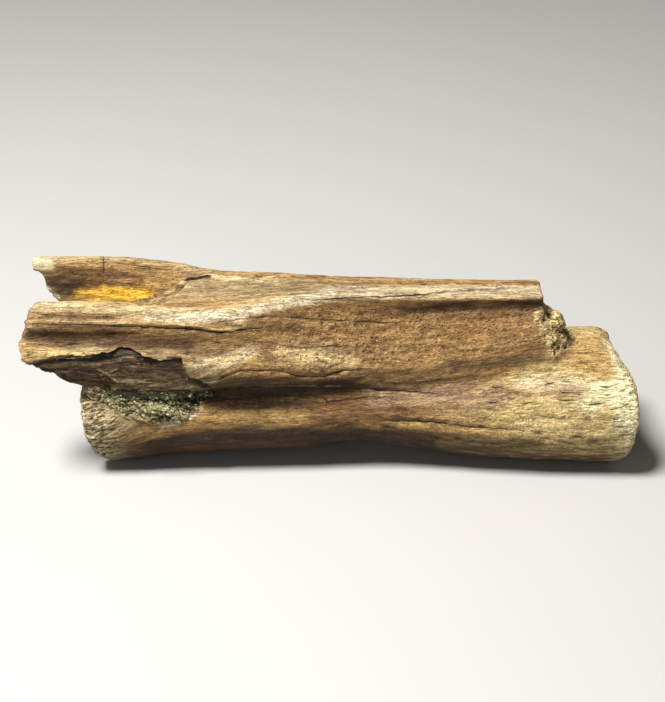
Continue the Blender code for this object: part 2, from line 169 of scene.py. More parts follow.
# A sunk strip just under the top edge, near the prong's tip.
STRIP_DEPTH, STRIP_STATIONS, STRIP_TOP, STRIP_FOOT = 0.55, (-35, -38), (0.05, 0.2), (0.9, 0.7)

# The rock: its outline from the side, the shares of it that its rings are drawn at, and how far its
# front and its hidden back stand.
ROCK_OUTLINE = ((-38.6, 16.2), (-37.4, 17.2), (-34.9, 16.8), (-32.6, 16.5), (-29.8, 16.4),
                (-26.9, 16.1), (-23.7, 16.5), (-21.3, 16.5), (-19.4, 16.0), (-19.5, 14.4),
                (-20.4, 12.9), (-22.4, 11.6), (-24.4, 10.8), (-27.0, 10.4), (-29.0, 10.6),
                (-31.0, 11.4), (-33.2, 12.1), (-35.2, 13.1), (-37.2, 14.6))
ROCK_SHARES, ROCK_RIM_SHARES = (0.02, 0.96), (1.0, 1.04)
ROCK_RINGS, ROCK_SPAN = 60, 16
ROCK_DOME, ROCK_SUNK, ROCK_BACK, ROCK_BACK_STRIDE = 0.75, 0.22, -5.6, 7
ROCK_FACE_FOOT, ROCK_FACE_GAP = 15.2, 0.2
# Its granules run on the slant: how far along a height moves them, and how far up a station does.
# Each size of them has its height, its scales along and up, and its seed.
ROCK_SLANT = (0.5, 0.35)
ROCK_GRANULES = ((0.5, 0.55, 1.0, 83), (0.30, 1.2, 2.0, 87))

CANAL_RADIUS, CANAL_HEIGHT, CANAL_DEPTH = 1.8, 23.3, 9.0
CANAL_MIDDLE = ARCH_BACK + 4.0
CANAL_RINGS, CANAL_SIDES = 24, 40

# How the fused skin is smoothed: rounds of softening, then rounds that firm it up again.
SOFTEN_ROUNDS, FIRM_ROUNDS, FIRM_STRENGTH = 5, 3, -0.35
SHARP_ANGLE = math.radians(52)

# Unevenness: height, scale along each axis, octaves and seed. A larger scale is finer.
NOISES = {
    "layer_edge": (0.13, (1.1, 0, 0), 2, 11),
    "torn_edges": (0.9, (0.16, 0.35, 0), 1, 13),
    "face_fibres": (0.13, (0.3, 2.3, 0), 1, 17),
    "face_threads": (0.08, (0.8, 4.2, 0), 1, 19),
    "face_chips": (0.10, (1.5, 3.4, 0), 1, 21),
    "crack_wander": (0.09, (0.9, 0, 0), 3, 23),
    "crack_fading": (0.55, (0.35, 0, 1), 2, 29),
    "waves": (0.13, (0.12, 0.22, 0.22), 1, 31),
    "swells": (0.08, 0.45, 1, 33),
    "ridges": (0.10, (0.10, 0.9, 0.9), 1, 35),
    "fine_ridges": (0.07, (0.18, 1.7, 1.7), 1, 37),
    "crumbs": (0.10, 1.25, 2, 43),
    "pore_walls": (0.10, (0.5, 1.8, 1.8), 1, 49),
    "front_ribs": (0.24, (0.6, 2.5, 2.5), 1, 49),
    "fine_front_ribs": (0.12, (1.4, 3.0, 3.0), 1, 51),
    "sponge_walls": (0.25, 0.9, 2, 55),
    "jagged_tip": (0.3, (0.9, 0.7, 1.6), 2, 59),
    "mark_edges": (0.35, (0.3, 0.8, 0.8), 3, 71),
    "mottle": (1, (0.08, 0.3, 0.3), 3, 73),
    "ochre_edges": (0.18, 0.9, 3, 75),
    "face_streaks": (0.32, (0.3, 0, 2.2), 3, 77),
    "face_grit": (0.45, (1.1, 0, 3.6), 3, 78),
    "crevice_shadow": (0.15, 1.1, 1, 79),
    "sheets_shown": (1, (0.22, 0, 0.5), 1, 81),
    "rock_waves": (0.35, (0.2, 1, 0.5), 2, 85),
    "rock_shades": (0.45, (0.6, 1.2, 1.2), 3, 93),
    "rock_dust": (0.5, (0.8, 1.5, 1.5), 3, 97),
}

# Round holes in random cells: depth, scale, the share of cells that have none, how far from its
# centre a hole ends and how far it is at its full depth, and seed.
HOLES = {
    "pits": (0.16, (0.45, 1.1, 1.1), 0.62, 0.42, 0.1, 41),
    "pores": (0.22, (0.9, 2.1, 2.1), 0.45, 0.5, 0.12, 47),
    "sponge": (0.5, 1.25, 0.3, 0.55, 0.15, 53),
}
GRANULE_EDGE = (0.75, 0.1)
HASH_PRIMES, HASH_ROUNDS = (73856093, 19349663, 83492791, 40503), ((15, 2246822519), (13, 3266489917))
HASH_MASK, CHANCE_MASK = 0xFFFFFFFF, 0xFFFFFF

# Heights that the bone's long ridges are levelled to, from its floor up, for grain that follows them.
GRAIN_RAILS = ("valley", "ridge", "flank", "eave", "crest")
GRAIN_LEVELS = (1.0, 9.0, 15.2, 20.2, 24.4, 28.3, 30.3)
SPOOL_HALF, GRAIN_LEAST_GAP = 8.0, 0.5
# Areas where the grain runs on a slant: its slope, and the station that it starts from.
GRAIN_FALLS = {"front_end": (0.24, -29), "corner": (0.2, -17)}

# Areas with a soft edge: each ramp's measure, its value where the area has gone, and where it is full.
AREAS = {
    "front_end": (("x", -24, -36), ("z", 17.5, 15.5)),
    "corner": (("x", -10, -14), ("x", -25, -21), ("level", 15.5, 18), ("level", 24.5, 22)),
    "spongy": (("off_break", -1.4, -0.7), ("z", 20.8, 21.6), ("x", 30, 31.5), ("x", 40.2, 39.2),
               ("z", 28.4, 27.6)),
    "front_pores": (("x", -31.5, -38), ("z", 17, 14.5)),
    "back_pores": (("x", 43.5, 47.0), ("z", 21.5, 19)),
    "slits": (("x", 33, 41), ("z", 19.5, 17.5)),
    "broken_tip": (("x", -40, -43), ("forward", 0.45, 0.7)),
    "end_face": (("endward", 0.6, 0.9),),
    "granular": (("level", 19.6, 22.0), ("level", 28.6, 27.2), ("x", -14, -2), ("x", 36, 31),
                 ("sideward", 0.3, 0.6)),
    # low_front is where the low side in front gets painted shade.
    "low_front": (("level", 10.5, 7.5), ("x", 22, -2)),
}

# Zones with a hard edge: each limit's measure, and the values that it lies between.
ZONES = {
    "trough": (("x", -ANY, -14), ("aside", -ANY, 4.6), ("z", 18, 28.8), ("upward", 0.45, ANY)),
    "near": (("facing", 0.02, ANY), ("y", -ANY, 0.5)),
    "far": (("facing", 0.02, ANY), ("y", 1.5, ANY)),
    "roof": (("facing", 0.02, ANY), ("z", 16, ANY)),
    "face": (("over_edge", -ANY, 0.35), ("x", -ANY, -19), ("z", 14.9, ANY), ("facing", -0.3, ANY),
             ("y", -ANY, 0), ("off_face", -1.6, 0.75)),
    "stained": (("upward", 0.3, ANY), ("z", 20, 28.5)),
}

# The scene's camera and its picture, which the lines below are placed by.
CAMERA_DISTANCE, CAMERA_RISE, AIM_HEIGHT = 250.0, math.radians(32), 18.6
LENS, SENSOR_WIDTH = 83.9, 36.0
PICTURE_WIDTH, PICTURE_HEIGHT = 665, 702
TOWARD_CAMERA = np.array([0, -math.cos(CAMERA_RISE), math.sin(CAMERA_RISE)])
UP_THE_PICTURE = np.array([0, math.sin(CAMERA_RISE), math.cos(CAMERA_RISE)])

# The stage: the places of the lights and their sizes in metres, the colour of the sky's light, and
# half the floor's width in millimetres.
KEY_PLACE, KEY_SIZE = (-0.13, -0.10, 0.38), 0.12
FILL_PLACE, FILL_SIZE = (-0.25, -0.40, 0.22), 0.35
SKY_COLOUR, FLOOR_HALF = (1, 0.98, 0.95, 1), 3000.0

# Cracks and edges on the sides that the camera sees: the line of each in pixels of the camera's
# picture, from the left and the top, then its width, its depth, how dark it is, and its zone.
CRACKS = {
    "prong_seam": (((28, 324), (87, 325), (148, 327), (191, 329), (222, 333), (250, 329), (276, 327)),
                   0.15, 0.22, 1.0, "near"),
    "prong_wrinkle": (((30, 316), (38, 314), (71, 317), (118, 318)), 0.28, 0.12, 0.2, "near"),
    "tip_shelf": (((23, 343), (35, 345), (60, 346), (80, 344)), 0.25, 0.2, 0.5, "near"),
    "seam_branch": (((211, 324), (257, 317), (285, 317), (358, 322), (400, 323)), 0.15, 0.16, 0.9, "near"),
    "flank_crack": (((236, 339), (282, 345), (297, 348), (328, 346), (352, 347)), 0.14, 0.12, 0.8, "near"),
    "bar_crack": (((288, 296), (312, 300), (358, 298), (420, 295), (450, 291), (537, 287)),
                  0.17, 0.2, 0.9, "roof"),
    "roof_crack": (((266, 296), (297, 294), (319, 291)), 0.15, 0.12, 0.6, "roof"),
    "ridge_break": (((199, 382), (221, 379), (240, 371), (282, 371), (297, 376), (325, 376), (343, 371),
                     (372, 369)), 0.15, 0.24, 1.0, "near"),
    "elbow_crack": (((312, 369), (325, 372), (328, 368), (345, 362)), 0.13, 0.14, 0.7, "near"),
    "valley_crack": (((202, 394), (228, 389), (264, 386), (328, 388), (389, 390), (451, 395)),
                     0.15, 0.18, 0.9, "near"),
    "side_crack": (((297, 392), (325, 398), (328, 402), (366, 398), (386, 397), (404, 403)),
                   0.16, 0.2, 0.9, "near"),
    "belly_crack": (((360, 420), (435, 422), (469, 427), (517, 430), (544, 434)), 0.16, 0.25, 1.0, "near"),
    "pale_crack": (((504, 412), (525, 414), (550, 418), (592, 420)), 0.13, 0.12, 0.6, "near"),
    "cross_crack": (((529, 418), (529, 425)), 0.12, 0.12, 0.7, "near"),
    "corner_fan": (((260, 347), (248, 356), (233, 366), (214, 377)), 0.1, 0.15, 0.4, "near"),
    "knot_crack": (((309, 368), (320, 369), (327, 372)), 0.14, 0.15, 0.8, "near"),
    "flank_back": (((512, 357), (522, 354), (527, 351), (534, 347)), 0.12, 0.12, 0.8, "near"),
    "low_wrinkle": (((530, 437), (555, 440), (579, 446)), 0.12, 0.15, 0.6, "near"),
    "prong_hairline": (((103, 256), (103, 274)), 0.12, 0.1, 0.8, "far"),
    "far_streak": (((102, 262), (132, 265), (163, 270), (186, 271)), 0.16, 0.12, 0.5, "far"),
    "roof_lip": (((185, 281), (192, 279), (212, 276)), 0.25, 0.3, 1.0, "roof"),
    "bar_undercut": (((400, 312), (460, 310), (541, 306)), 0.7, 0.15, 0.0, "near"),
}

# Short slits in the back half's side, in the same pixels.
SLITS = (((544, 385), (555, 383)), ((597, 387), (606, 388), (621, 383)), ((604, 396), (612, 394)),
         ((619, 392), (629, 389)), ((590, 405), (605, 404)), ((609, 410), (622, 408), (631, 404)),
         ((612, 419), (619, 420)), ((615, 427), (625, 428)), ((617, 436), (634, 435)),
         ((490, 387), (505, 388)), ((560, 392), (576, 393)), ((556, 400), (578, 400)),
         ((521, 404), (538, 402)), ((507, 398), (516, 399)), ((485, 403), (500, 402)),
         ((571, 436), (585, 438)), ((532, 433), (545, 434)))
SLIT_WIDTH, SLIT_DEPTH = 0.16, 0.2

# How a crack fades at its ends and beside its line, and how far its valley reaches. Slits, and the
# cracks of their width, fade out more slowly. FAR_OFF stands for no crack near.
CRACK_END, SLIT_END = (-0.02, 0.12), (-0.02, 0.4)
CRACK_SHADE, CRACK_REACH, FAR_OFF = (0.6, 0.4), 0.26, 9.0
SEAM_LIP, SEAM_LIP_MIDDLE, SEAM_LIP_WIDTH = 0.30, 0.42, 0.34
ROOF_LIP = 0.25

# Marks of colour laid over the bone in turn: the line of each in the same pixels, its half-width,
# the name of its colour in the bone's settings, its strength, and its zone. BRUSH_EDGE holds the
# half-widths from the line where a mark has gone and where it is full.
BRUSH_EDGE = (1.5, 0.4)
MARKS = {
    "far_crest": (((36, 259), (100, 258), (150, 261), (200, 266)), 0.6, "grey", 0.5, "far"),
    "far_tip": (((34, 262), (48, 264)), 1.0, "pale", 0.8, "far"),
    "far_shade": (((60, 271), (112, 274), (150, 277)), 0.8, "brown", 0.9, "far"),
    "far_hollow": (((44, 281), (80, 282)), 1.1, "umber", 0.75, "far"),
    "far_foot": (((45, 290), (72, 292)), 1.1, "umber", 0.8, "far"),
    "far_root": (((120, 264), (178, 273)), 1.0, "tan", 0.6, "far"),
    "far_middle": (((150, 283), (178, 285)), 0.9, "gold", 0.8, "far"),
    "roof_rear": (((215, 270), (300, 276), (400, 282), (538, 283)), 0.5, "russet", 0.8, "roof"),
    "roof_step": (((205, 275), (240, 279), (276, 283)), 0.35, "cream", 0.6, "roof"),
    "roof_plate": (((188, 288), (230, 291), (268, 286)), 1.5, "grey", 0.6, "roof"),
    "roof_stripe": (((172, 304), (240, 305)), 0.6, "tan", 0.6, "roof"),
    "roof_granules": (((160, 298), (172, 290), (184, 282)), 0.4, "straw", 0.8, "roof"),
    "slant_ridge": (((180, 318), (240, 313), (290, 303), (330, 294)), 1.0, "chalk", 0.7, "roof"),
    "bar": (((330, 293), (440, 291), (538, 291)), 0.9, "chalk", 0.5, "roof"),
    "crest": (((36, 308), (80, 308), (120, 312), (170, 316)), 0.9, "cream", 0.45, "near"),
    "crest_white": (((150, 315), (190, 318), (240, 318)), 0.8, "chalk", 0.6, "near"),
    "wrinkle": (((36, 316), (118, 317)), 0.3, "tan", 0.5, "near"),
    "ledge": (((34, 322), (100, 323), (180, 326)), 0.5, "tan", 0.6, "near"),
    # Painted shade in the groove under the prong's ledge.
    "groove": (((28, 336), (60, 338), (110, 341), (190, 345)), 0.95, "umber", 0.7, "near"),
    "lip": (((24, 354), (60, 353), (100, 351)), 0.55, "straw", 0.4, "near"),
    "front": (((200, 332), (240, 337), (280, 342)), 1.5, "tan", 0.6, "near"),
    "corner": (((192, 368), (215, 364), (250, 352)), 1.3, "cream", 0.4, "near"),
    "fan_low": (((196, 378), (225, 367), (258, 348)), 0.2, "chalk", 0.5, "near"),
    "fan_high": (((192, 366), (222, 357), (248, 345)), 0.15, "chalk", 0.4, "near"),
    "corner_plate": (((203, 384), (209, 384), (217, 379)), 0.5, "pale", 0.8, "near"),
    # These two marks are painted shadow under the roof's overhanging bar.
    "undercut": (((360, 314), (420, 312), (470, 310), (540, 306)), 1.3, "brown", 0.9, "near"),
    "undercut_back": (((400, 311), (470, 309), (540, 305)), 0.7, "umber", 0.75, "near"),
    "flank": (((330, 330), (420, 330), (530, 326)), 2.2, "russet", 0.7, "near"),
    "flank_low": (((370, 352), (450, 354), (540, 340)), 2.2, "brown", 0.4, "near"),
    "flank_pale": (((282, 353), (315, 358), (352, 362)), 1.2, "straw", 0.65, "near"),
    "knot": (((320, 361), (327, 362)), 0.3, "umber", 0.9, "near"),
    # These three marks are painted shade: at the ridge's foot, under the ridge, and in the valley below it.
    "ridge_back": (((360, 374), (400, 375), (450, 370)), 1.0, "umber", 0.5, "near"),
    "ridge_under": (((236, 379), (300, 381), (340, 380)), 0.6, "brown", 0.6, "near"),
    "valley": (((204, 392), (300, 390), (350, 387)), 1.1, "black", 0.95, "near"),
    "valley_edge": (((262, 386), (340, 386)), 0.07, "straw", 0.5, "near"),
    # These two marks are painted shade: in the valley at the back, and low on the side in front.
    "valley_back": (((455, 367), (500, 362), (552, 357)), 0.8, "umber", 0.75, "near"),
    "side_front": (((210, 402), (310, 402)), 1.4, "umber", 0.95, "near"),
    # Painted reflection: a golden glow low on the side.
    "side_gold": (((205, 415), (300, 414)), 0.7, "gold", 0.3, "near"),
    "side_middle": (((315, 406), (400, 410)), 2.4, "brown", 0.9, "near"),
    # These two marks are painted shade under the belly.
    "belly_front": (((150, 447), (200, 438), (260, 433), (360, 437)), 1.2, "black", 0.8, "near"),
    "belly_middle": (((340, 432), (430, 440)), 1.3, "umber", 0.9, "near"),
    "pale_side": (((505, 417), (560, 420), (600, 424)), 1.7, "straw", 0.7, "near"),
    "pale_end": (((594, 398), (622, 396), (628, 418)), 2.4, "pale", 0.9, "near"),
    "pink_band": (((375, 396), (430, 396), (500, 396)), 1.9, "pink", 0.85, "near"),
    "pink_edge": (((430, 389), (470, 386), (540, 388), (580, 392)), 1.3, "pink", 0.5, "near"),
    "white_patch": (((520, 384), (560, 381), (584, 384)), 1.1, "chalk", 0.45, "near"),
    "grey_patch": (((560, 350), (585, 357), (604, 366)), 2.2, "tan", 0.85, "near"),
    "gold_strip": (((400, 425), (440, 428), (500, 434)), 0.55, "gold", 0.8, "near"),
    # Painted shade where the belly turns under.
    "low_stripe": (((400, 434), (470, 438), (540, 443)), 0.8, "umber", 0.6, "near"),
    "low_spot": (((589, 442), (595, 442)), 0.4, "umber", 0.8, "near"),
    "rock_rim": (((163, 427), (176, 424), (186, 420), (197, 413)), 0.3, "chalk", 1.0, "near"),
    "far_crumbs": (((46, 288), (53, 293), (58, 297)), 0.4, "pale", 0.8, "far"),
    "rock_foot": (((100, 408), (116, 420), (140, 429)), 0.9, "grey", 0.6, "near"),
    "shelf": (((566, 338), (598, 342)), 1.4, "gold", 0.6, "roof"),
    "rim": (((606, 335), (622, 372), (634, 410), (632, 445)), 0.7, "pale", 0.8, "near"),
}

# The same for the face under the missing layer.
FACE_MARKS = {
    # Painted shadow under the missing layer's top edge.
    "crevice_shadow": (((22, 365), (50, 361), (75, 359), (95, 359), (112, 355), (124, 352), (132, 352),
                 (140, 357), (152, 362), (165, 361), (184, 360)), 0.5, "black", 1.0, "face"),
    "strip": (((44, 366), (70, 364), (100, 364)), 0.35, "grey", 0.7, "face"),
    # Painted shade under the strip's lower edge.
    "strip_foot": (((42, 370), (95, 371), (106, 376), (113, 383)), 0.25, "black", 0.8, "face"),
    "low_sheet": (((52, 376), (80, 380), (104, 385)), 0.9, "umber", 0.6, "face"),
    # Painted highlight along the slanting step.
    "slanting_light": (((98, 369), (109, 375), (117, 382)), 0.15, "straw", 0.6, "face"),
    "facet": (((112, 374), (126, 373)), 0.4, "pink", 0.4, "face"),
    "upper_line": (((112, 381), (130, 380), (150, 383)), 0.08, "chalk", 0.4, "face"),
    "lower_line": (((135, 388), (160, 385), (180, 380)), 0.08, "chalk", 0.3, "face"),
    "corner_shade": (((170, 366), (180, 372), (186, 378)), 0.7, "umber", 0.5, "face"),
    "corner_lump": (((178, 388), (192, 384), (200, 387)), 0.5, "grey", 0.7, "face"),
    # Painted shade in the recess under the corner.
    "corner_dark": (((189, 381), (198, 382), (206, 388)), 0.4, "black", 0.9, "face"),
    # Painted shade between the face and the rock.
    "foot": (((100, 390), (130, 393), (165, 392), (212, 392)), 0.45, "black", 0.7, "face"),
}

# Lighter and darker streaks of the rock, in the same pixels: half-width, and how much lighter.
ROCK_STREAKS = {
    "middle": (((106, 398), (125, 405), (150, 408), (180, 409)), 0.9, 0.16),
    "top_left": (((88, 391), (112, 400)), 0.5, 0.10),
    "left": (((97, 401), (107, 409)), 0.5, -0.3),
    "top": (((112, 393), (135, 397), (162, 398)), 0.6, -0.25),
    "right": (((184, 399), (208, 404)), 1.3, -0.28),
    "low": (((120, 418), (145, 421), (166, 420)), 0.5, -0.3),
}

# Ochre: the middle and the radii of its patch, on the picture's plane and on the trough's floor.
OCHRE_WALL, OCHRE_FLOOR = ((-34.8, 9.1), (6.9, 1.4)), ((-34, 0), (5.5, 3.2))

# Pale bone at the back: the stations it grows over, how high it reaches, and how that rises.
PALE_BACK, PALE_BACK_TOP = (10, 32), (10.5, 8)
PALE_BACK_RISE, PALE_BACK_RUN = 0.4, 30

# Rounds of smoothing that show what stands proud or lies low, for the painted highlight and shade: of small
# things, and of broad ones.
RELIEF_LIGHT_ROUNDS = (4, 30)

# The bone material's noises, in waves a metre along and across it, with detail and roughness; its
# random cells, with how far from its centre each ends and is full; and its checks, with their width.
BONE_NOISES = {
    "streak": ((230, 1300, 1300), 4.0, 0.6),
    "fibre": ((1500, 5200, 5200), 3.0, 0.65),
    "sand": (4600, 2.0, 0.6),
    "crumb": (2100, 3.0, 0.7),
    "patchy": ((250, 700, 700), 2.0, 0.5),
}
BONE_CELLS = {
    "pore": ((900, 2700, 2700), 0.50, 0.30),
    "slit": ((260, 2300, 2300), 0.24, 0.12),
    "pit": ((1300, 1900, 1900), 0.34, 0.12),
    "dot": ((1100, 1500, 1500), 0.20, 0.10),
}
LONG_CHECK, SHORT_CHECK = ((95, 900, 900), 0.012), ((300, 2600, 2600), 0.028)
# How far each noise dims and brightens the bone, and the cast of its dim and its bright parts.
BONE_TONES = {"streak": (0.68, 1.20), "fibre": (0.74, 1.15), "sand": (0.86, 1.09)}
DIM_CAST, BRIGHT_CAST = (1, 0.96, 0.90), (1, 1.01, 1.03)
DARK_TONE, PALE_TONE = (0.20, 0.155, 0.11, 1), (1.9, 1.9, 1.85, 1)
DOT_COLOUR, CRACK_COLOUR = (0.70, 0.52, 0.30, 1), (0.010, 0.006, 0.004, 1)
# The rock material's grains: how many a metre along each axis, and how far they are turned.
ROCK_GRAINS, ROCK_TURN = (3800, 5200, 6600), (0, -0.45, 0)
BONE_BUMP, ROCK_BUMP = 0.0005, 0.0003


# Colours

def hex_colour(text):
    """Red, green and blue from 0 to 1 of a colour written as #rrggbb."""
    return [int(text[i:i + 2], 16) / 255 for i in (1, 3, 5)]


def srgb(colour):
    """Scene-linear values of a display colour: the usual 2.4 power law."""
    return ((np.array(colour, float) + 0.055) / 1.055) ** 2.4


def palette(settings):
    """Each colour in a group of settings by its name, as scene-linear values."""
    values = {name: getattr(settings, name) for name in settings.__annotations__}
    return {name: srgb(value) for name, value in values.items() if not isinstance(value, float)}


def opaque(colour):
    """A colour's three values with an alpha of 1."""
    return (*colour, 1)


def blend(colour, other, share):
    """Colours moved towards another by a share, one for each vertex."""
    return colour + (other - colour) * share[:, None]


# Numbers and curves

def along(rail, x):
    """Values of the cubic Hermite curve through a rail's rows, at the stations x: one column a value."""
    rows = np.array(rail, float)
    knots, values = rows[:, 0], rows[:, 1:]
    slopes = np.gradient(values, knots, axis=0)
    x = np.clip(np.asarray(x, float), knots[0], knots[-1])
    left = np.clip(np.searchsorted(knots, x) - 1, 0, len(knots) - 2)
    gap = (knots[left + 1] - knots[left])[..., None]
    t = (x - knots[left])[..., None] / gap
    start = (1 + 2 * t) * (1 - t) ** 2 * values[left] + t * (1 - t) ** 2 * gap * slopes[left]
    end = t * t * (3 - 2 * t) * values[left + 1] + t * t * (t - 1) * gap * slopes[left + 1]
    return start + end


def profile(rows, height):
    """The straight-sided profile through rows of two numbers, read at these values of the first."""
    heights, stations = np.array(rows, float).T
    return np.interp(height, heights, stations)


def step(value, none, full):
    """0 up to none, 1 from full on, and the smooth cubic between them; none may be the larger."""
    t = np.clip((value - none) / (full - none), 0, 1)
    return t * t * (3 - 2 * t)


def fading(distance, reach):
    """A column of shares: 1 where the distance is 0, falling evenly to 0 where it is the reach."""
    return np.clip(1 - distance / reach, 0, 1)[:, None]


def hump(value, middle, width):
    """The bell curve that is 1 at its middle and has all but gone two widths away."""
    return np.exp(-(((value - middle) / width) ** 2))


def chance(cell, seed):
    """A repeatable number from 0 to 1 for each whole-number cell: its coordinates, hashed."""
    a, b, c = np.moveaxis(cell.astype(np.int64), -1, 0)
    prime_a, prime_b, prime_c, prime_seed = HASH_PRIMES
    h = (a * prime_a ^ b * prime_b ^ c * prime_c ^ (seed + 1) * prime_seed) & HASH_MASK
    for shift, prime in HASH_ROUNDS:
        h = ((h ^ (h >> shift)) * prime) & HASH_MASK
    return ((h ^ (h >> 16)) & CHANCE_MASK) / CHANCE_MASK


def noise(points, seed):
    """Smooth noise from -1 to 1: the chance of each corner of a point's cell, blended by distance."""
    cell = np.floor(points).astype(np.int64)
    share = points - cell
    share = share * share * (3 - 2 * share)
    total = np.zeros(len(points))
    for corner in np.ndindex(2, 2, 2):
        weight = np.where(corner, share, 1 - share).prod(axis=1)
        total += weight * chance(cell + corner, seed)
    return 2 * total - 1


def fractal(points, octaves, seed):
    """Noise summed over octaves, each of half the size and half the strength."""
    return sum(noise(points * 2.0**i, seed + i) / 2.0**i for i in range(octaves))


def uneven(name, points):
    """The unevenness that a row of NOISES describes, at these points."""
    height, scale, octaves, seed = NOISES[name]
    return height * fractal(points * scale, octaves, seed)


def scattered(points, seed):
    """Distance to the nearest of one random centre a cell, and that centre's own number."""
    cell = np.floor(points).astype(np.int64)
    nearest, own = np.full(len(points), 9.0), np.zeros(len(points))
    for offset in np.ndindex(3, 3, 3):
        other = cell + offset - 1
        centre = other + np.stack([chance(other, seed + i) for i in range(3)], axis=1)
        gap = np.linalg.norm(points - centre, axis=1)
        closer = gap < nearest
        nearest = np.where(closer, gap, nearest)
        own = np.where(closer, chance(other, seed + 3), own)
    return nearest, own


def holes(name, points):
    """The round holes that a row of HOLES describes: minus the depth at their centres, 0 between them."""
    depth, scale, missing, outer, inner, seed = HOLES[name]
    gap, own = scattered(points * scale, seed)
    return -depth * (own > missing) * step(gap, outer, inner)


def granules(points, seed):
    """Round lumps, one a cell, each of its own height between 0.3 and 1.3."""
    gap, own = scattered(points, seed)
    return (0.3 + own) * step(gap, *GRANULE_EDGE)


def trace(plane, line):
    """Signed distance from places on a plane to a polyline, and the share of it passed there."""
    line = np.array(line, float)
    starts, runs = line[:-1], np.diff(line, axis=0)
    lengths = np.hypot(*runs.T)
    offset = plane[:, None] - starts
    share = np.clip((offset * runs).sum(axis=2) / lengths**2, 0, 1)
    miss = offset - share[..., None] * runs
    gap = np.hypot(miss[..., 0], miss[..., 1])
    rows, best = np.arange(len(plane)), gap.argmin(axis=1)
    side = runs[best, 0] * miss[rows, best, 1] - runs[best, 1] * miss[rows, best, 0]
    passed = (np.cumsum(lengths)[best] - lengths[best] * (1 - share[rows, best])) / lengths.sum()
    return np.where(side < 0, -1, 1) * gap[rows, best], passed


# Meshes

def smooth_ring(corners, per_span):
    """A closed Catmull-Rom curve through each ring of corner points, shaped (rings, corners, 2)."""
    before, after = np.roll(corners, 1, axis=1), np.roll(corners, -1, axis=1)
    beyond = np.roll(corners, -2, axis=1)
    t = (np.arange(per_span) / per_span)[None, None, :, None]
    a, b, c, d = (p[:, :, None, :] for p in (before, corners, after, beyond))
    curve = 2 * b + (c - a) * t + (2 * a - 5 * b + 4 * c - d) * t**2 + (3 * b - a - 3 * c + d) * t**3
    return 0.5 * curve.reshape(len(corners), -1, 2)


def loft(x, rings):
    """Closed shell through rings of (y, z) at stations x: quads between rings, a fan on each end."""
    rings = np.asarray(rings, float)
    count, around = rings.shape[:2]
    x = np.broadcast_to(np.asarray(x, float).reshape(count, -1), (count, around))
    points = np.dstack([x, rings])
    here = np.arange(count * around).reshape(count, around)
    beside = np.roll(here, -1, axis=1)
    quads = np.stack([here[:-1], beside[:-1], beside[1:], here[1:]], axis=2).reshape(-1, 4)
    poles = np.full((2, around), count * around) + [[0], [1]]
    caps = np.concatenate([np.stack([poles[0], beside[0], here[0]], axis=1),
                           np.stack([poles[1], here[-1], beside[-1]], axis=1)])
    ends = points[[0, -1]].mean(axis=1)
    return np.concatenate([points.reshape(-1, 3), ends]), [quads, caps]


def turned_out(faces):
    """The same faces from their other side: the first corner stays and the rest run backwards."""
    return [np.concatenate([group[:, :1], group[:, :0:-1]], axis=1) for group in faces]


def joined(shells):
    """Several shells as one set of points and faces."""
    points, faces, count = [], [], 0
    for some, groups in shells:
        points.append(some)
        faces += [group + count for group in groups]
        count += len(some)
    return np.concatenate(points), faces


def mesh_object(name, points, faces):
    """A mesh object from points in millimetres and arrays of faces, one array for each corner count."""
    corners = np.concatenate([group.ravel() for group in faces]).astype(np.int32)
    sizes = np.concatenate([np.full(len(group), group.shape[1]) for group in faces])
    data = bpy.data.meshes.new(name)
    data.vertices.add(len(points))
    data.vertices.foreach_set("co", (points * MM).astype(np.float32).ravel())
    data.loops.add(len(corners))
    data.loops.foreach_set("vertex_index", corners)
    data.polygons.add(len(sizes))
    data.polygons.foreach_set("loop_start", (np.cumsum(sizes) - sizes).astype(np.int32))
    data.update(calc_edges=True)
    obj = bpy.data.objects.new(name, data)
    bpy.context.scene.collection.objects.link(obj)
    return obj


def apply_modifiers(obj):
    """Puts what an object's modifiers make of its mesh in place of that mesh."""
    graph = bpy.context.evaluated_depsgraph_get()
    made = bpy.data.meshes.new_from_object(obj.evaluated_get(graph))
    obj.modifiers.clear()
    obj.data = made


def fuse(obj, voxel):
    """Turns overlapping shells into one skin, on a grid of voxels of this size in millimetres."""
    remesh = obj.modifiers.new("fuse", "REMESH")
    remesh.mode = "VOXEL"
    remesh.voxel_size = voxel * MM
    apply_modifiers(obj)


def cut_away(obj, shells):
    """Takes named closed shells away from an object."""
    cutters = [mesh_object(name, *shell) for name, shell in shells.items()]
    for cutter in cutters:
        cut = obj.modifiers.new(cutter.name, "BOOLEAN")
        cut.operation = "DIFFERENCE"
        cut.object = cutter
        cut.solver = "MANIFOLD"
    apply_modifiers(obj)
    for cutter in cutters:
        bpy.data.objects.remove(cutter)


def read(obj):
    """An object's points in millimetres, its vertex normals and its edges."""
    data = obj.data
    points = np.empty(len(data.vertices) * 3, np.float32)
    normals = np.empty(len(data.vertices) * 3, np.float32)
    edges = np.empty(len(data.edges) * 2, np.int32)
    data.vertices.foreach_get("co", points)
    data.vertex_normals.foreach_get("vector", normals)
    data.edges.foreach_get("vertices", edges)
    points, normals = (values.reshape(-1, 3).astype(float) for values in (points, normals))
    return points / MM, normals, edges.reshape(-1, 2)


def write(obj, points):
    """Moves an object's vertices to these points in millimetres."""
    obj.data.vertices.foreach_set("co", (points * MM).astype(np.float32).ravel())
    obj.data.update()


def add_attribute(obj, name, kind, values):
    """Gives each vertex its value or row of values of a new attribute."""
    field = {"FLOAT": "value", "FLOAT_VECTOR": "vector", "FLOAT_COLOR": "color"}[kind]
    attribute = obj.data.attributes.new(name, kind, "POINT")
    attribute.data.foreach_set(field, values.astype(np.float32).ravel())


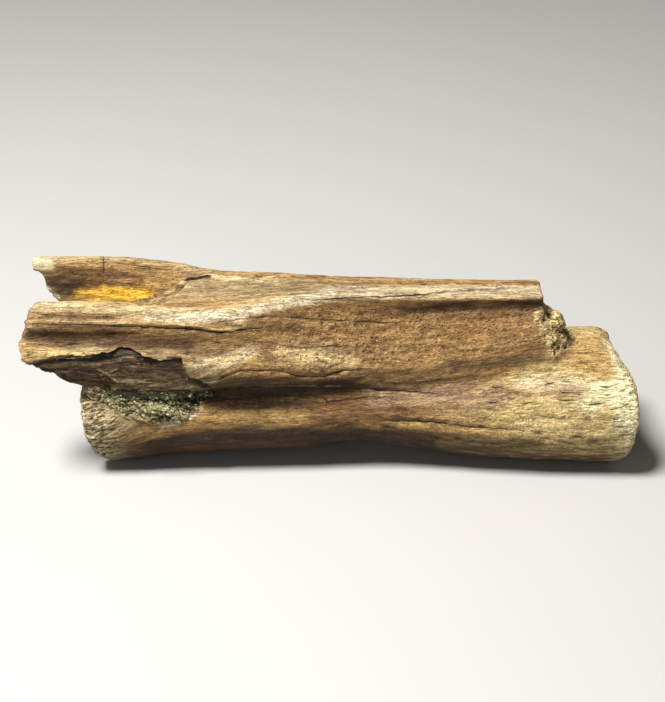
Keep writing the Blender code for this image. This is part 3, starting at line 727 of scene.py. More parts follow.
def neighbour_mean(values, edges):
    """The mean of each vertex's neighbours, column by column."""
    a, b = edges.T
    count = np.bincount(edges.ravel(), minlength=len(values))
    columns = [np.bincount(a, column[b], len(values)) + np.bincount(b, column[a], len(values))
               for column in values.T]
    return np.stack(columns, axis=1) / np.maximum(count, 1)[:, None]


def relax(points, edges, rounds, strength=0.5):
    """Each round moves every vertex a share of the way to the mean of its neighbours."""
    for _ in range(rounds):
        points = points + strength * (neighbour_mean(points, edges) - points)
    return points


# The bone's forms

def spool_middle(x):
    """The middle height and the half-height of the spool's section at the stations x."""
    floor, top = along(CENTRUM_FLOOR, x), along(CENTRUM_TOP, x)
    return (floor + top) / 2, (top - floor) / 2


def centrum():
    """The spool: superellipse sections scaled by rails, with dished ends and a groove below."""
    inset, scale = np.array(DISH + RIM).T
    middle = np.linspace(CENTRUM_FRONT + RIM_DEPTH, CENTRUM_BACK - RIM_DEPTH, CENTRUM_RINGS)
    x = np.concatenate([CENTRUM_FRONT + inset, middle, (CENTRUM_BACK - inset)[::-1]])
    scale = np.concatenate([scale, np.ones(len(middle)), scale[::-1]])[:, None]
    centre, half = spool_middle(x)
    angle = np.linspace(0, 2 * np.pi, CENTRUM_SIDES, endpoint=False)
    sideways, upward = np.sin(angle), -np.cos(angle)
    power = 2 / np.where(upward < 0, BELLY_POWER, BACK_POWER)
    y = along(CENTRUM_WIDTH, x) * np.sign(sideways) * np.abs(sideways) ** power
    z = centre + half * np.sign(upward) * np.abs(upward) ** power
    z = np.where(upward < 0, z + KEEL_GROOVE * np.clip(1 - (y / KEEL_GROOVE_HALF) ** 2, 0, 1), z)
    y, z = y * scale, centre + (z - centre) * scale
    behind = profile(BACK_LEAN, z) + BACK_TURN * y
    stations = x[:, None] - fading(CENTRUM_BACK - x, LEAN_REACH) * behind
    stations = stations + fading(x - CENTRUM_FRONT, LEAN_REACH) * profile(FRONT_LEAN, z)
    return loft(stations, np.dstack([y, z]))


def broken_back(y, z):
    """The station of the arch's broken back face: a profile by height, stepped forward at the sides."""
    return profile(ARCH_BREAK, z) - BREAK_STEP * np.clip(np.abs(y) - BREAK_CORE, 0, None)


def arch():
    """The neural arch: rings through its rails, oblique in front, its back end on the broken face."""
    x = np.linspace(ARCH_FRONT, ARCH_BACK, ARCH_RINGS)
    near = np.stack([along(rail, x) for rail in ARCH_RAILS.values()], axis=1)
    rings = smooth_ring(np.concatenate([near * (-1, 1), near[:, ::-1]], axis=1), ARCH_SPAN)
    y, z = rings[..., 0], rings[..., 1]
    behind = fading(ARCH_BACK - x, ARCH_BACK_REACH) * (broken_back(y, z) - ARCH_BACK)
    skew = ARCH_FRONT_SKEW * y * np.clip((z - SKEW_BASE) / SKEW_RISE, 0, 1)
    stations = x[:, None] + behind + fading(x - ARCH_FRONT, ARCH_FRONT_REACH) * skew
    middle = np.array([0, ARCH_BREAK_MIDDLE])
    share = np.linspace(*BREAK_SHARES, BREAK_RINGS)[:, None]
    narrowed = np.dstack([share, 1 - BREAK_HEIGHT_SHARE * (1 - share)])
    face = middle + (rings[-1:] - middle) * narrowed
    stations = np.concatenate([stations, broken_back(face[..., 0], face[..., 1])])
    return loft(stations, np.concatenate([rings, face]))


def prong(side, tip, rails):
    """One prezygapophysis: rings through its rails, its tip cut to a profile and filled to its middle."""
    share = np.linspace(0, 1, PRONG_RINGS)
    x = PRONG_TIP + share * (PRONG_ROOT - PRONG_TIP)
    corners = np.stack([along(rail, x) for rail in rails.values()], axis=1) * (side, 1)
    rings = smooth_ring(corners, PRONG_SPAN)
    stations = x[:, None] + fading(share, TIP_REACH) * (profile(tip, rings[..., 1]) - PRONG_TIP)
    middle = rings[0].mean(axis=0)
    shrink = np.linspace(*TIP_SHARES, TIP_RINGS)[:, None, None]
    face = middle + (rings[:1] - middle) * shrink
    return loft(np.concatenate([profile(tip, face[..., 1]), stations]), np.concatenate([face, rings]))


def trough_floor():
    """The floor between the prongs: a bed whose top rises with the square of the distance to the middle."""
    x = np.linspace(TROUGH_FLOOR[0][0], TROUGH_FLOOR[-1][0], TROUGH_RINGS)
    half, floor = along(TROUGH_FLOOR, x).T[..., None]
    across, back = np.linspace(-1, 1, TROUGH_TOP_POINTS), np.linspace(1, -1, TROUGH_BED_POINTS)
    top = np.stack([half * across, floor + TROUGH_RISE * across**2], axis=2)
    bed = np.stack([half * back, np.full((len(x), len(back)), TROUGH_BED)], axis=2)
    return loft(x, np.concatenate([top, bed], axis=1))


def ellipsoid(centre, radii, stacks=24, around=32, pole=0.05):
    """An ellipsoid: rings whose radius is the sine of the angle from its poles."""
    angle = np.linspace(pole, np.pi - pole, stacks)[:, None]
    turn = np.linspace(0, 2 * np.pi, around, endpoint=False)[None, :]
    y = centre[1] + radii[1] * np.sin(angle) * np.sin(turn)
    z = centre[2] - radii[2] * np.sin(angle) * np.cos(turn)
    return loft(centre[0] - radii[0] * np.cos(angle), np.dstack([y, z]))


def canal():
    """The neural canal: a cylinder along X, open in the broken back."""
    turn = np.linspace(0, 2 * np.pi, CANAL_SIDES, endpoint=False)
    ring = np.stack([CANAL_RADIUS * np.sin(turn), CANAL_HEIGHT - CANAL_RADIUS * np.cos(turn)], axis=1)
    x = np.linspace(CANAL_MIDDLE - CANAL_DEPTH, CANAL_MIDDLE + CANAL_DEPTH, CANAL_RINGS)
    return loft(x, np.broadcast_to(ring, (len(x), *ring.shape)))


def layer_face(z):
    """How far out the face under the missing layer lies: furthest at one level, leaning in from it."""
    above = z - LAYER_LEVEL
    return LAYER_FACE - np.where(above < 0, -LAYER_LEAN * above, LAYER_LEAN_ABOVE * above)


def torn_below(x, z, top):
    """How far below the missing layer's top edge a place counts as, for the ragged edges of its sheets."""
    place = np.stack([x, z, 0 * z], axis=-1).reshape(-1, 3)
    return top - z + uneven("torn_edges", place).reshape(z.shape)


def missing_layer():
    """The broken-away layer: a block below its top edge, whose inner face is laid in torn sheets.

    A ring goes up that face, cuts a little way in under the edge, and comes down outside the bone.
    """
    first, last = LAYER_EDGE[0][0], LAYER_EDGE[-1][0]
    x = np.union1d(np.linspace(first, last, LAYER_RINGS), [row[0] for row in LAYER_EDGE])
    top = profile(LAYER_EDGE, x) + uneven("layer_edge", np.outer(x, (1, 0, 0)))
    z = LAYER_FOOT + (top[:, None] - LAYER_FOOT) * np.linspace(0, 1, LAYER_ROWS)
    below = top[:, None] - z
    across = x[:, None] + 0 * z
    place = np.dstack([across, z, 0 * z]).reshape(-1, 3)
    torn = torn_below(across, z, top[:, None])
    sheets = sum(SHEET_STEP * step(torn, edge, edge + SHEET_RAMP) for edge in SHEET_EDGES)
    bevel = trace(place[:, :2], LAYER_BEVEL)[0].reshape(z.shape)
    bevel = np.where(bevel > 0, np.exp(-bevel / BEVEL_ABOVE), -np.exp(bevel / BEVEL_BELOW))
    fibres = sum(uneven(name, place) for name in ("face_fibres", "face_threads", "face_chips"))
    strip = step(x, *STRIP_STATIONS)[:, None] * step(below, *STRIP_TOP) * step(below, *STRIP_FOOT)
    depth = layer_face(z) + LAYER_LEFT - sheets + BEVEL_HEIGHT * bevel + fibres.reshape(z.shape)
    inner = np.dstack([-depth - STRIP_DEPTH * strip, z + EDGE_UNDERCUT * (below < EDGE_ROW)])
    edge = np.stack([-np.maximum(layer_face(top), EDGE_LEAST) - EDGE_OUT, top + EDGE_UP], axis=1)
    outer = np.stack([np.full(len(x), LAYER_OUTSIDE), top], axis=1)
    foot = np.full((len(x), 2), (LAYER_OUTSIDE, LAYER_FOOT))
    return loft(x, np.concatenate([inner, edge[:, None], outer[:, None], foot[:, None]], axis=1))


# The bone's surface

def sight_plane(points):
    """Where points are seen on the plane that faces the camera at its aim: millimetres right and up."""
    offset = points - (0, 0, AIM_HEIGHT)
    nearness = CAMERA_DISTANCE / (CAMERA_DISTANCE - offset @ TOWARD_CAMERA)
    return np.stack([offset[:, 0] * nearness, offset @ UP_THE_PICTURE * nearness], axis=1)


def from_picture(line):
    """The places on that plane of a line that is given in the picture's pixels."""
    pixel = CAMERA_DISTANCE * SENSOR_WIDTH / LENS / PICTURE_WIDTH
    return (np.array(line, float) - (PICTURE_WIDTH / 2, PICTURE_HEIGHT / 2)) * (pixel, -pixel)


def brushed(plane, line, half, ragged):
    """1 along a line of the picture, fading out beyond its half-width at ragged sides and ends."""
    gap, _ = trace(plane, from_picture(line))
    return step(np.abs(gap / half) + ragged, *BRUSH_EDGE)


def patch(places, middle, radii, ragged, edge):
    """1 at the middle of an ellipse on a plane, fading out over its ragged edge."""
    return step(np.hypot(*((places - middle) / radii).T) + ragged, *edge)


def grain_level(x, z):
    """The height that a point would have if the bone's long ridges ran level: straight between rails."""
    floor = along(CENTRUM_FLOOR, x)[:, 0]
    knots = [floor, floor + SPOOL_HALF] + [along(ARCH_RAILS[name], x)[:, 1] for name in GRAIN_RAILS]
    made = GRAIN_LEVELS[0] + (z - knots[0])
    for low, high, a, b in zip(knots, knots[1:], GRAIN_LEVELS, GRAIN_LEVELS[1:]):
        share = np.clip((z - low) / np.maximum(high - low, GRAIN_LEAST_GAP), 0, 1)
        made = np.where(z > low, a + share * (b - a), made)
    return np.where(z > knots[-1], GRAIN_LEVELS[-1] + z - knots[-1], made)


def survey(points, normals):
    """What the relief and the colours both need to know of each vertex, as a dictionary of arrays.

    The areas are shares from 0 to 1, each the product of its ramps. The zones are true or false.
    """
    x, y, z = points.T
    known = {"x": x, "y": y, "z": z, "aside": np.abs(y), "level": grain_level(x, z),
             "facing": normals @ TOWARD_CAMERA, "forward": -normals[:, 0], "endward": np.abs(normals[:, 0]),
             "sideward": np.abs(normals[:, 1]), "upward": normals[:, 2], "off_break": x - broken_back(y, z),
             "over_edge": z - profile(LAYER_EDGE, x), "off_face": -y - layer_face(z)}
    areas = {name: math.prod(step(known[key], none, full) for key, none, full in ramps)
             for name, ramps in AREAS.items()}
    zones = {name: np.all([(known[key] > low) & (known[key] < high) for key, low, high in limits], axis=0)
             for name, limits in ZONES.items()}
    for name in ("near", "far", "roof"):
        zones[name] &= ~zones["trough"]
    falling = sum(slope * (x - start) * areas[name] for name, (slope, start) in GRAIN_FALLS.items())
    areas["slits"] = areas["slits"] * (1 - areas["back_pores"])
    areas["porous"] = np.maximum(areas["front_pores"], areas["back_pores"] * 0.4)
    areas["porous"] = areas["porous"] * (1 - 0.55 * areas["end_face"])
    areas["granular"] = np.maximum(areas["granular"], 0.6 * zones["face"])
    return {"points": points, "normals": normals, "plane": sight_plane(points), "level": known["level"],
            "flow": np.stack([x, y, known["level"] - falling], axis=1), "zones": zones, **areas}


def cracks(skin):
    """Signed distance to the nearest crack in widths, how dark it is there, and the cracks' relief."""
    plane, points = skin["plane"], skin["points"]
    wander = uneven("crack_wander", points)
    shown = 0.62 + uneven("crack_fading", points * (1, 0, 0) + (0, 0, 9))
    distance, dark, valleys = np.full(len(points), FAR_OFF), np.zeros(len(points)), np.zeros(len(points))
    slits = [(line, SLIT_WIDTH, SLIT_DEPTH, 1.0, "near") for line in SLITS]
    for line, width, depth, darkness, zone in (*CRACKS.values(), *slits):
        gap, passed = trace(plane, from_picture(line))
        gap = gap + wander
        fade = SLIT_END if width == SLIT_WIDTH else CRACK_END
        taper = step(passed, *fade) * step(1 - passed, *fade) * skin["zones"][zone]
        taper = taper * np.clip(shown + 0.35 * (darkness >= 1), 0.35, 1)
        valleys -= depth * hump(gap, 0, CRACK_REACH) * taper
        own = darkness * taper * step(np.abs(gap), *CRACK_SHADE)
        better = (own > 0) & (np.abs(gap / width) < np.abs(distance))
        distance = np.where(better, gap / width, distance)
        dark = np.where(better, own, dark)
    return np.clip(distance, -FAR_OFF, FAR_OFF), dark, valleys


def lips(skin):
    """The rounded lip above the prong's seam, and the raised edge of the roof's step."""
    gap, passed = trace(skin["plane"], from_picture(CRACKS["prong_seam"][0]))
    lip = SEAM_LIP * hump(gap, SEAM_LIP_MIDDLE, SEAM_LIP_WIDTH) * step(1 - passed, 0.0, 0.25)
    gap, _ = trace(skin["plane"], from_picture(CRACKS["roof_lip"][0]))
    edge = ROOF_LIP * step(gap, -0.05, -0.3) * step(np.abs(gap), 1.4, 0.4)
    return lip * skin["zones"]["near"] + edge * skin["zones"]["roof"]


def relief(skin):
    """Displacement along the normal: waves, grain along the bone, pits, lips, cracks and broken bone."""
    points, flow, spongy, porous = skin["points"], skin["flow"], skin["spongy"], skin["porous"]
    ridges = uneven("ridges", flow) + uneven("fine_ridges", flow)
    bone = uneven("waves", points) + uneven("swells", points) + ridges * (1 - porous * 0.4)
    bone = bone + holes("pits", flow) + uneven("crumbs", points) * (0.35 + skin["granular"])
    bone = bone + porous * (holes("pores", flow) + uneven("pore_walls", flow))
    bone = bone + skin["front_pores"] * (uneven("front_ribs", flow) + uneven("fine_front_ribs", flow))
    sponge = holes("sponge", points) + uneven("sponge_walls", points)
    bone = bone * (1 - spongy) + sponge * spongy
    return bone + skin["broken_tip"] * uneven("jagged_tip", points) + lips(skin) + cracks(skin)[2]


def bone_mesh(voxel):
    """The bone: forms fused, smoothed, displaced, cut by the missing layer and the canal, and clipped.

    The clip is to the box of the CAD node that it stands for.
    """
    forms = [centrum(), arch(), prong(-1, NEAR_TIP, PRONG_RAILS | NEAR_PRONG),
             prong(1, FAR_TIP, PRONG_RAILS), trough_floor(), ellipsoid(KNOB_CENTRE, KNOB_RADII)]
    bone = mesh_object("fossil_bone", *joined(forms))
    fuse(bone, voxel)
    points, _, edges = read(bone)
    points = relax(points, edges, SOFTEN_ROUNDS)
    write(bone, relax(points, edges, FIRM_ROUNDS, FIRM_STRENGTH))
    points, normals, _ = read(bone)
    write(bone, points + normals * relief(survey(points, normals))[:, None])
    cut_away(bone, {"layer_cutter": missing_layer(), "canal_cutter": canal()})
    low, high = (np.array(corner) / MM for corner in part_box("vertebra"))
    write(bone, np.clip(read(bone)[0], low, high))
    bone.data.shade_smooth()
    bone.data.set_sharp_from_angle(angle=SHARP_ANGLE)
    return bone


def marked(skin, colour, colours, marks):
    """The colour with each mark laid over it in turn, within its zone."""
    ragged = uneven("mark_edges", skin["flow"])
    for line, half, shade, strength, zone in marks.values():
        weight = strength * brushed(skin["plane"], line, half, ragged) * skin["zones"][zone]
        colour = blend(colour, colours[shade], weight)
    return colour


def ground_colour(skin, colours, mottle):
    """The bone's colour by its form: a painted highlight on faces that turn up, paler on the back half, and
    painted shade low down in front.
    """
    x, _, z = skin["points"].T
    colour = blend(colours["tan"], colours["brown"], np.clip(0.5 + 0.7 * mottle, 0, 1))
    # Painted highlight: faces that turn up are taken towards cream.
    colour = blend(colour, colours["cream"], 0.2 * step(skin["normals"][:, 2] + 0.15 * mottle, 0.35, 0.95))
    # Painted shade: the low side in front is taken towards brown.
    colour = blend(colour, colours["brown"], 0.85 * skin["low_front"])
    reach = skin["level"] - PALE_BACK_RISE * np.clip(x - PALE_BACK[0], 0, PALE_BACK_RUN)
    back = step(x + 4 * mottle, *PALE_BACK) * step(reach, *PALE_BACK_TOP) * step(z, 0.2, 2.0)
    return blend(colour, colours["straw"], 0.6 * back)


def layer_colour(skin, colours, colour):
    """The face under the missing layer: grey-brown, with a painted highlight on each torn sheet's edge and
    painted shade below it, and painted shadow just under the top edge.
    """
    points = skin["points"]
    x, _, z = points.T
    top = profile(LAYER_EDGE, x)
    torn = torn_below(x, z, top)
    shown = step(uneven("sheets_shown", points), -0.35, 0.35)
    shade = 0.95 + uneven("face_streaks", points) + uneven("face_grit", points)
    # Painted highlight on each torn sheet's edge, and painted shade just below it.
    for edge in SHEET_EDGES:
        light, dark = hump(torn, edge - 0.12, 0.13), hump(torn, edge + 0.30, 0.30)
        shade = shade + 0.30 * shown * (light - dark)
    # Painted shadow just under the missing layer's top edge.
    crevice_shadow = 1 - 0.9 * step(z - top + uneven("crevice_shadow", points), -0.9, -0.5)
    slate = colours["slate"] * (np.clip(shade, 0.2, 2.2) * crevice_shadow)[:, None]
    return np.where(skin["zones"]["face"][:, None], slate, colour)


def painted_relief_light(skin, edges, colours, colour):
    """Painted highlight and shade: lightens what stands proud of its surroundings and faces up, and darkens
    what lies below them.
    """
    points, normals = skin["points"], skin["normals"]
    near, wide = (((relax(points, edges, rounds) - points) * normals).sum(axis=1) for rounds in RELIEF_LIGHT_ROUNDS)
    # Painted highlight: what stands proud and faces up is taken towards cream.
    lit = 0.6 * np.clip(-near * 3.4 - wide * 0.2, 0, 0.5) * step(normals[:, 2], -0.3, 0.3)
    # Painted shade: what lies below its surroundings is taken towards umber.
    painted_hollow_shade = np.clip(near * 5.0 + wide * 0.4, 0, 0.8)
    colour = blend(colour, np.maximum(colours["cream"], colour), lit)
    return blend(colour, colours["umber"], painted_hollow_shade)


def ochre(skin, colours, colour):
    """The patch of ochre on the far prong's inner side, and its stain on the trough's floor."""
    ragged = uneven("ochre_edges", skin["flow"])
    wall = patch(skin["plane"], *OCHRE_WALL, ragged, (1.25, 0.45)) * skin["zones"]["far"]
    floor = patch(skin["points"][:, :2], *OCHRE_FLOOR, ragged, (1.2, 0.6)) * skin["zones"]["stained"]
    return blend(colour, colours["orange"], np.maximum(0.9 * wall, 0.3 * floor))


def bone_colours(bone, settings):
    """Writes the bone's broad colours and the masks that its material reads, one value a vertex."""
    points, normals, edges = read(bone)
    skin = survey(points, normals)
    colours = palette(settings)
    mottle = uneven("mottle", skin["flow"])
    colour = marked(skin, ground_colour(skin, colours, mottle), colours, MARKS)
    # Painted shade: faces that turn down are taken towards umber. The pale and straw shares below are the
    # bone's own colour.
    below = step(-normals[:, 2] + 0.15 * mottle, 0.15, 0.65)
    for name, share in (("umber", 0.85 * below), ("pale", 0.55 * skin["front_pores"]),
                        ("pale", 0.5 * skin["back_pores"]), ("straw", 0.9 * skin["spongy"])):
        colour = blend(colour, colours[name], share)
    colour = marked(skin, layer_colour(skin, colours, colour), colours, FACE_MARKS)
    colour = ochre(skin, colours, painted_relief_light(skin, edges, colours, colour))
    add_attribute(bone, "tint", "FLOAT_COLOR", np.column_stack([colour, np.ones(len(points))]))
    add_attribute(bone, "grain", "FLOAT_VECTOR", skin["flow"] * MM)
    distance, dark, _ = cracks(skin)
    numbers = {"crack_gap": distance, "crack_dark": dark, "granular": skin["granular"],
               "slits": skin["slits"], "porous": np.clip(skin["porous"] + 0.7 * skin["spongy"], 0, 1)}
    for name, values in numbers.items():
        add_attribute(bone, name, "FLOAT", values)


# The rock

def from_rim(points):
    """How far points lie from the rock's outline, seen from the side."""
    return np.abs(trace(points[:, ::2], ROCK_OUTLINE + ROCK_OUTLINE[:1])[0])


def rock_lightness(points):
    """How much lighter than its middle shade the rock is at each point: streaks, and a dark rim."""
    ragged = uneven("rock_shades", points)
    lightness = 0.25 * ragged - 0.16 * step(ragged - from_rim(points), -1.2, 0.2)
    for line, half, amount in ROCK_STREAKS.values():
        lightness += amount * brushed(sight_plane(points), line, half, ragged)
    return lightness


def rock_dust(points):
    """How much bone-coloured dust lies on the rock at each point: most on its low rim and front corner."""
    x, _, z = points.T
    rim = step(uneven("rock_dust", points) - from_rim(points), -2.6, 0.1)
    return rim * np.maximum(step(z, 15.8, 13.0), 0.6 * step(x, -34.5, -37.5))


def near_side(x, z):
    """How far out the bone lies where the rock sits: the spool's side, or the missing layer's face."""
    centre, half = (values[:, 0] for values in spool_middle(x))
    spool = along(CENTRUM_WIDTH, x)[:, 0] * np.sqrt(np.clip(1 - ((z - centre) / half) ** 2, 0.02, 1))
    return np.maximum(spool, np.where(z > ROCK_FACE_FOOT, layer_face(z) - ROCK_FACE_GAP, 0))


def rock_mesh(settings):
    """The rock: a lump inside its outline that swells from the bone, its skin in coarse granules.

    Each ring is the outline drawn towards its middle by a share, and the outward distance is the
    bone's own surface plus a dome, granules and waves, so that its rim is lost in the bone.
    """
    outline = np.array(ROCK_OUTLINE, float)
    middle = outline.mean(axis=0)
    ring = smooth_ring(outline[None], ROCK_SPAN)[0]
    share = np.concatenate([np.linspace(*ROCK_SHARES, ROCK_RINGS), ROCK_RIM_SHARES])
    front = middle + (ring - middle) * share[:, None, None]
    x, z = front.reshape(-1, 2).T
    slanted = np.column_stack([x + ROCK_SLANT[0] * z, x * 0, z + ROCK_SLANT[1] * x])
    size = settings.granule / MM
    rough = uneven("rock_waves", slanted)
    for height, lengthways, upward, seed in ROCK_GRANULES:
        rough = rough + height * granules(slanted * (lengthways / size, 1, upward / size), seed)
    dome = np.repeat(np.clip(1 - share**4, 0, 1), len(ring))
    proud = ROCK_DOME * dome - ROCK_SUNK + rough * (0.4 + 0.6 * dome)
    y = -(near_side(x, z) + proud).reshape(len(share), -1)
    skin = np.dstack([front[..., 0], y, front[..., 1]])
    inner = skin[::-ROCK_BACK_STRIDE].copy()
    inner[..., 1] = ROCK_BACK
    grid = np.concatenate([skin, inner])
    points, faces = loft(grid[..., 0], grid[..., 1:])
    rock = mesh_object("sandy_rock", points, turned_out(faces))
    add_attribute(rock, "lightness", "FLOAT", rock_lightness(points))
    add_attribute(rock, "dusty", "FLOAT", rock_dust(points))
    rock.data.shade_smooth()
    return rock


# Materials

class Wire:
    """One number in a material: arithmetic on it adds the Math nodes that work it out."""

    def __init__(self, paint, socket):
        self.paint, self.socket = paint, socket

    def combine(self, operation, first, second=None):
        """The number that a Math node makes of one or two others."""
        values = {0: first} if second is None else {0: first, 1: second}
        node = self.paint.node("ShaderNodeMath", {"operation": operation}, values)
        return Wire(self.paint, node.outputs[0])

    def __add__(self, other):
        return self.combine("ADD", self, other)

    __radd__ = __add__

    def __sub__(self, other):
        return self.combine("SUBTRACT", self, other)

    def __rsub__(self, other):
        return self.combine("SUBTRACT", other, self)

    def __mul__(self, other):
        return self.combine("MULTIPLY", self, other)

    __rmul__ = __mul__

    def __abs__(self):
        return self.combine("ABSOLUTE", self)


class Paint:
    """A material's nodes: node() makes any of them, and the rest are short names for common ones."""

    def __init__(self, name):
        self.material = bpy.data.materials.new(name)
        self.material.use_nodes = True
        self.tree = self.material.node_tree
        self.shader = self.tree.nodes["Principled BSDF"]

    def node(self, kind, settings=None, values=None):
        """A node of this type: its settings first, then each socket's value or link."""
        node = self.tree.nodes.new(kind)
        for key, value in (settings or {}).items():
            setattr(node, key, value)
        self.fill(node, values)
        return node

    def fill(self, node, values):
        """Gives a node's sockets their values or links."""
        for key, value in (values or {}).items():
            if isinstance(value, Wire):
                value = value.socket
            if isinstance(value, bpy.types.NodeSocket):
                self.tree.links.new(value, node.inputs[key])
            else:
                node.inputs[key].default_value = value

    def finish(self, colour, roughness, gloss, height=None, reach=0):
        """Links colour and roughness to the shader, with a bump of this height over this reach in metres."""
        values = {"Base Color": colour, "Roughness": roughness, "Specular IOR Level": gloss}
        if height is not None:
            bump = self.node("ShaderNodeBump", None, {"Height": height, "Distance": reach, "Strength": 1.0})
            values["Normal"] = bump.outputs[0]
        self.fill(self.shader, values)
        return self.material

    def place(self):
        """Each point's place on its object."""
        return self.node("ShaderNodeTexCoord").outputs["Object"]

    def attribute(self, name, output):
        """An attribute of the mesh, as its vector, its colour or its number."""
        return self.node("ShaderNodeAttribute", {"attribute_name": name}).outputs[output]

    def number(self, name):
        """An attribute that is one number."""
        return Wire(self, self.attribute(name, "Fac"))

    def stretched(self, vector, scale, turn=(0, 0, 0)):
        """A place turned by these angles and scaled along each axis."""
        values = {"Vector": vector, "Rotation": turn, "Scale": scale}
        return self.node("ShaderNodeMapping", None, values).outputs[0]

    def noise(self, vector, scale, detail=3.0, rough=0.55):
        """Noise from 0 to 1; a scale of three numbers draws it out along the axes."""
        if isinstance(scale, tuple):
            vector, scale = self.stretched(vector, scale), 1.0
        values = {"Vector": vector, "Scale": scale, "Detail": detail, "Roughness": rough}
        return Wire(self, self.node("ShaderNodeTexNoise", None, values).outputs["Fac"])

    def band(self, value, low, high):
        """0 below low, 1 above high, smooth between; low may be the larger to turn it round."""
        node = self.node("ShaderNodeMapRange", {"interpolation_type": "SMOOTHSTEP"},
                         {"Value": value, "From Min": low, "From Max": high})
        return Wire(self, node.outputs[0])

    def hairs(self, vector, scale, width):
        """1 along the lines where noise of this scale crosses its middle, 0 further than width from them."""
        return self.band(abs(self.noise(vector, scale) - 0.5), width, 0.0)

    def random_cells(self, vector):
        """Random cells of about one unit: the node itself, for its distances and its colours."""
        return self.node("ShaderNodeTexVoronoi", None, {"Vector": vector, "Scale": 1.0})

    def cells(self, vector, scale, outer, inner):
        """1 near the centres of random cells of this scale, 0 further than outer from them."""
        cells = self.random_cells(self.stretched(vector, scale))
        return self.band(Wire(self, cells.outputs["Distance"]), outer, inner)

    def mix(self, share, first, second, blend="MIX"):
        """The first colour taken towards what blending it with the second makes, by a share."""
        node = self.node("ShaderNodeMix", {"data_type": "RGBA", "blend_type": blend},
                         {0: share, 6: first, 7: second})
        return node.outputs[2]

    def toned(self, first, second):
        """Two colours multiplied."""
        return self.mix(1.0, first, second, "MULTIPLY")


def bone_material():
    """Bone: its broad colours broken by streaks, fine checks along the grain, sand, pores and cracks.
    """
    paint = Paint("fossil_bone")
    grain, tint = paint.attribute("grain", "Vector"), paint.attribute("tint", "Color")
    porous, granular, slits = paint.number("porous"), paint.number("granular"), paint.number("slits")
    noises = {name: paint.noise(grain, *row) for name, row in BONE_NOISES.items()}
    crumb, patchy = noises["crumb"], noises["patchy"]
    long_check = paint.hairs(grain, *LONG_CHECK) * paint.band(patchy, 0.46, 0.60)
    short_check = paint.hairs(grain, *SHORT_CHECK) * paint.band(patchy, 0.62, 0.40)
    check = (long_check * 0.9 + short_check * 0.6) * (1 - granular * 0.6)
    line = paint.band(abs(paint.number("crack_gap")), 0.85, 0.30) * paint.number("crack_dark")
    pore, slit, pit, dot = (paint.cells(grain, *row) for row in BONE_CELLS.values())
    pore = pore * porous
    slit = slit * (0.10 + slits * 0.55)
    pit = pit * (0.06 + granular * 0.60)
    dot = dot * paint.band(patchy, 0.50, 0.60) * granular
    colour = tint
    for name, (dim, bright) in BONE_TONES.items():
        tones = (opaque(np.multiply(tone, cast)) for tone, cast in ((dim, DIM_CAST), (bright, BRIGHT_CAST)))
        colour = paint.toned(colour, paint.mix(paint.band(noises[name], 0.36, 0.64), *tones))
    dark, pale = paint.toned(tint, DARK_TONE), paint.toned(tint, PALE_TONE)
    crumbs = paint.band(crumb, 0.58, 0.70) * (0.15 + granular * 0.70 + porous * 0.50)
    for share, other in ((check * 0.75, dark), (pit * 0.8, dark), (crumbs, pale), (dot * 0.6, DOT_COLOUR),
                         (slit * 0.9, dark), (pore * 0.95, dark), (line, CRACK_COLOUR)):
        colour = paint.mix(share, colour, other)
    sand = noises["sand"]
    light = noises["streak"] * 0.45 + noises["fibre"] * 0.35 + sand * 0.2
    hollow = pore + pit * 0.7 + slit * 0.8 + check * 0.5 + line
    height = light * 1.3 + crumb * (0.25 + granular * 0.5) - hollow
    return paint.finish(colour, 0.55 + sand * 0.15, 0.22, height, BONE_BUMP)


def rock_material(settings):
    """Rock: green-black grains drawn out on the slant, some pale, partly as a painted glint, each with its
    own shade.
    """
    paint = Paint("sandy_rock")
    colours = {name: opaque(colour) for name, colour in palette(settings).items()}
    slant = paint.stretched(paint.place(), ROCK_GRAINS, ROCK_TURN)
    own = paint.node("ShaderNodeSeparateColor", None, {"Color": paint.random_cells(slant).outputs["Color"]})
    shade = Wire(paint, own.outputs[0])
    dust = paint.noise(slant, 0.35, 4.0, 0.6)
    light = paint.number("lightness")
    greenness = paint.band(shade * 0.6 + dust * 0.8 + light, 0.45, 0.95)
    # Pale grains: partly their own colour, and partly a painted glint.
    pale_grains_and_glints = paint.band(shade * 0.7 + dust * 0.5 + light * 0.4, 0.84, 0.94) * 0.6
    dusty = paint.band(paint.number("dusty") + dust * 0.9 + shade * 0.6, 0.95, 1.75) * 0.9
    colour = colours["dark"]
    for share, name in ((greenness, "green"), (pale_grains_and_glints, "glint"), (dusty, "bone")):
        colour = paint.mix(share, colour, colours[name])
    return paint.finish(colour, 0.75 - shade * 0.25, 0.12, shade * 0.8 + dust, ROCK_BUMP)


def floor_material(settings):
    """A pale matt floor with a faint unevenness."""
    paint = Paint("pale_floor")
    pale = palette(settings)["floor"]
    colour = paint.mix(paint.noise(paint.place(), 9.0), opaque(pale * 0.93), opaque(pale))
    return paint.finish(colour, 0.85, 0.5)


# Settings, operators and panel

def colour_property(name, text, value):
    """A colour that a user can change, with its default written as #rrggbb."""
    return FloatVectorProperty(name=name, description=text, subtype="COLOR_GAMMA", size=3, min=0, max=1,
                               default=hex_colour(value))


def length_property(name, text, value, **limits):
    """A length that a user can change, with its default in millimetres."""
    return FloatProperty(name=name, description=text, default=value * MM, unit="LENGTH", **limits)


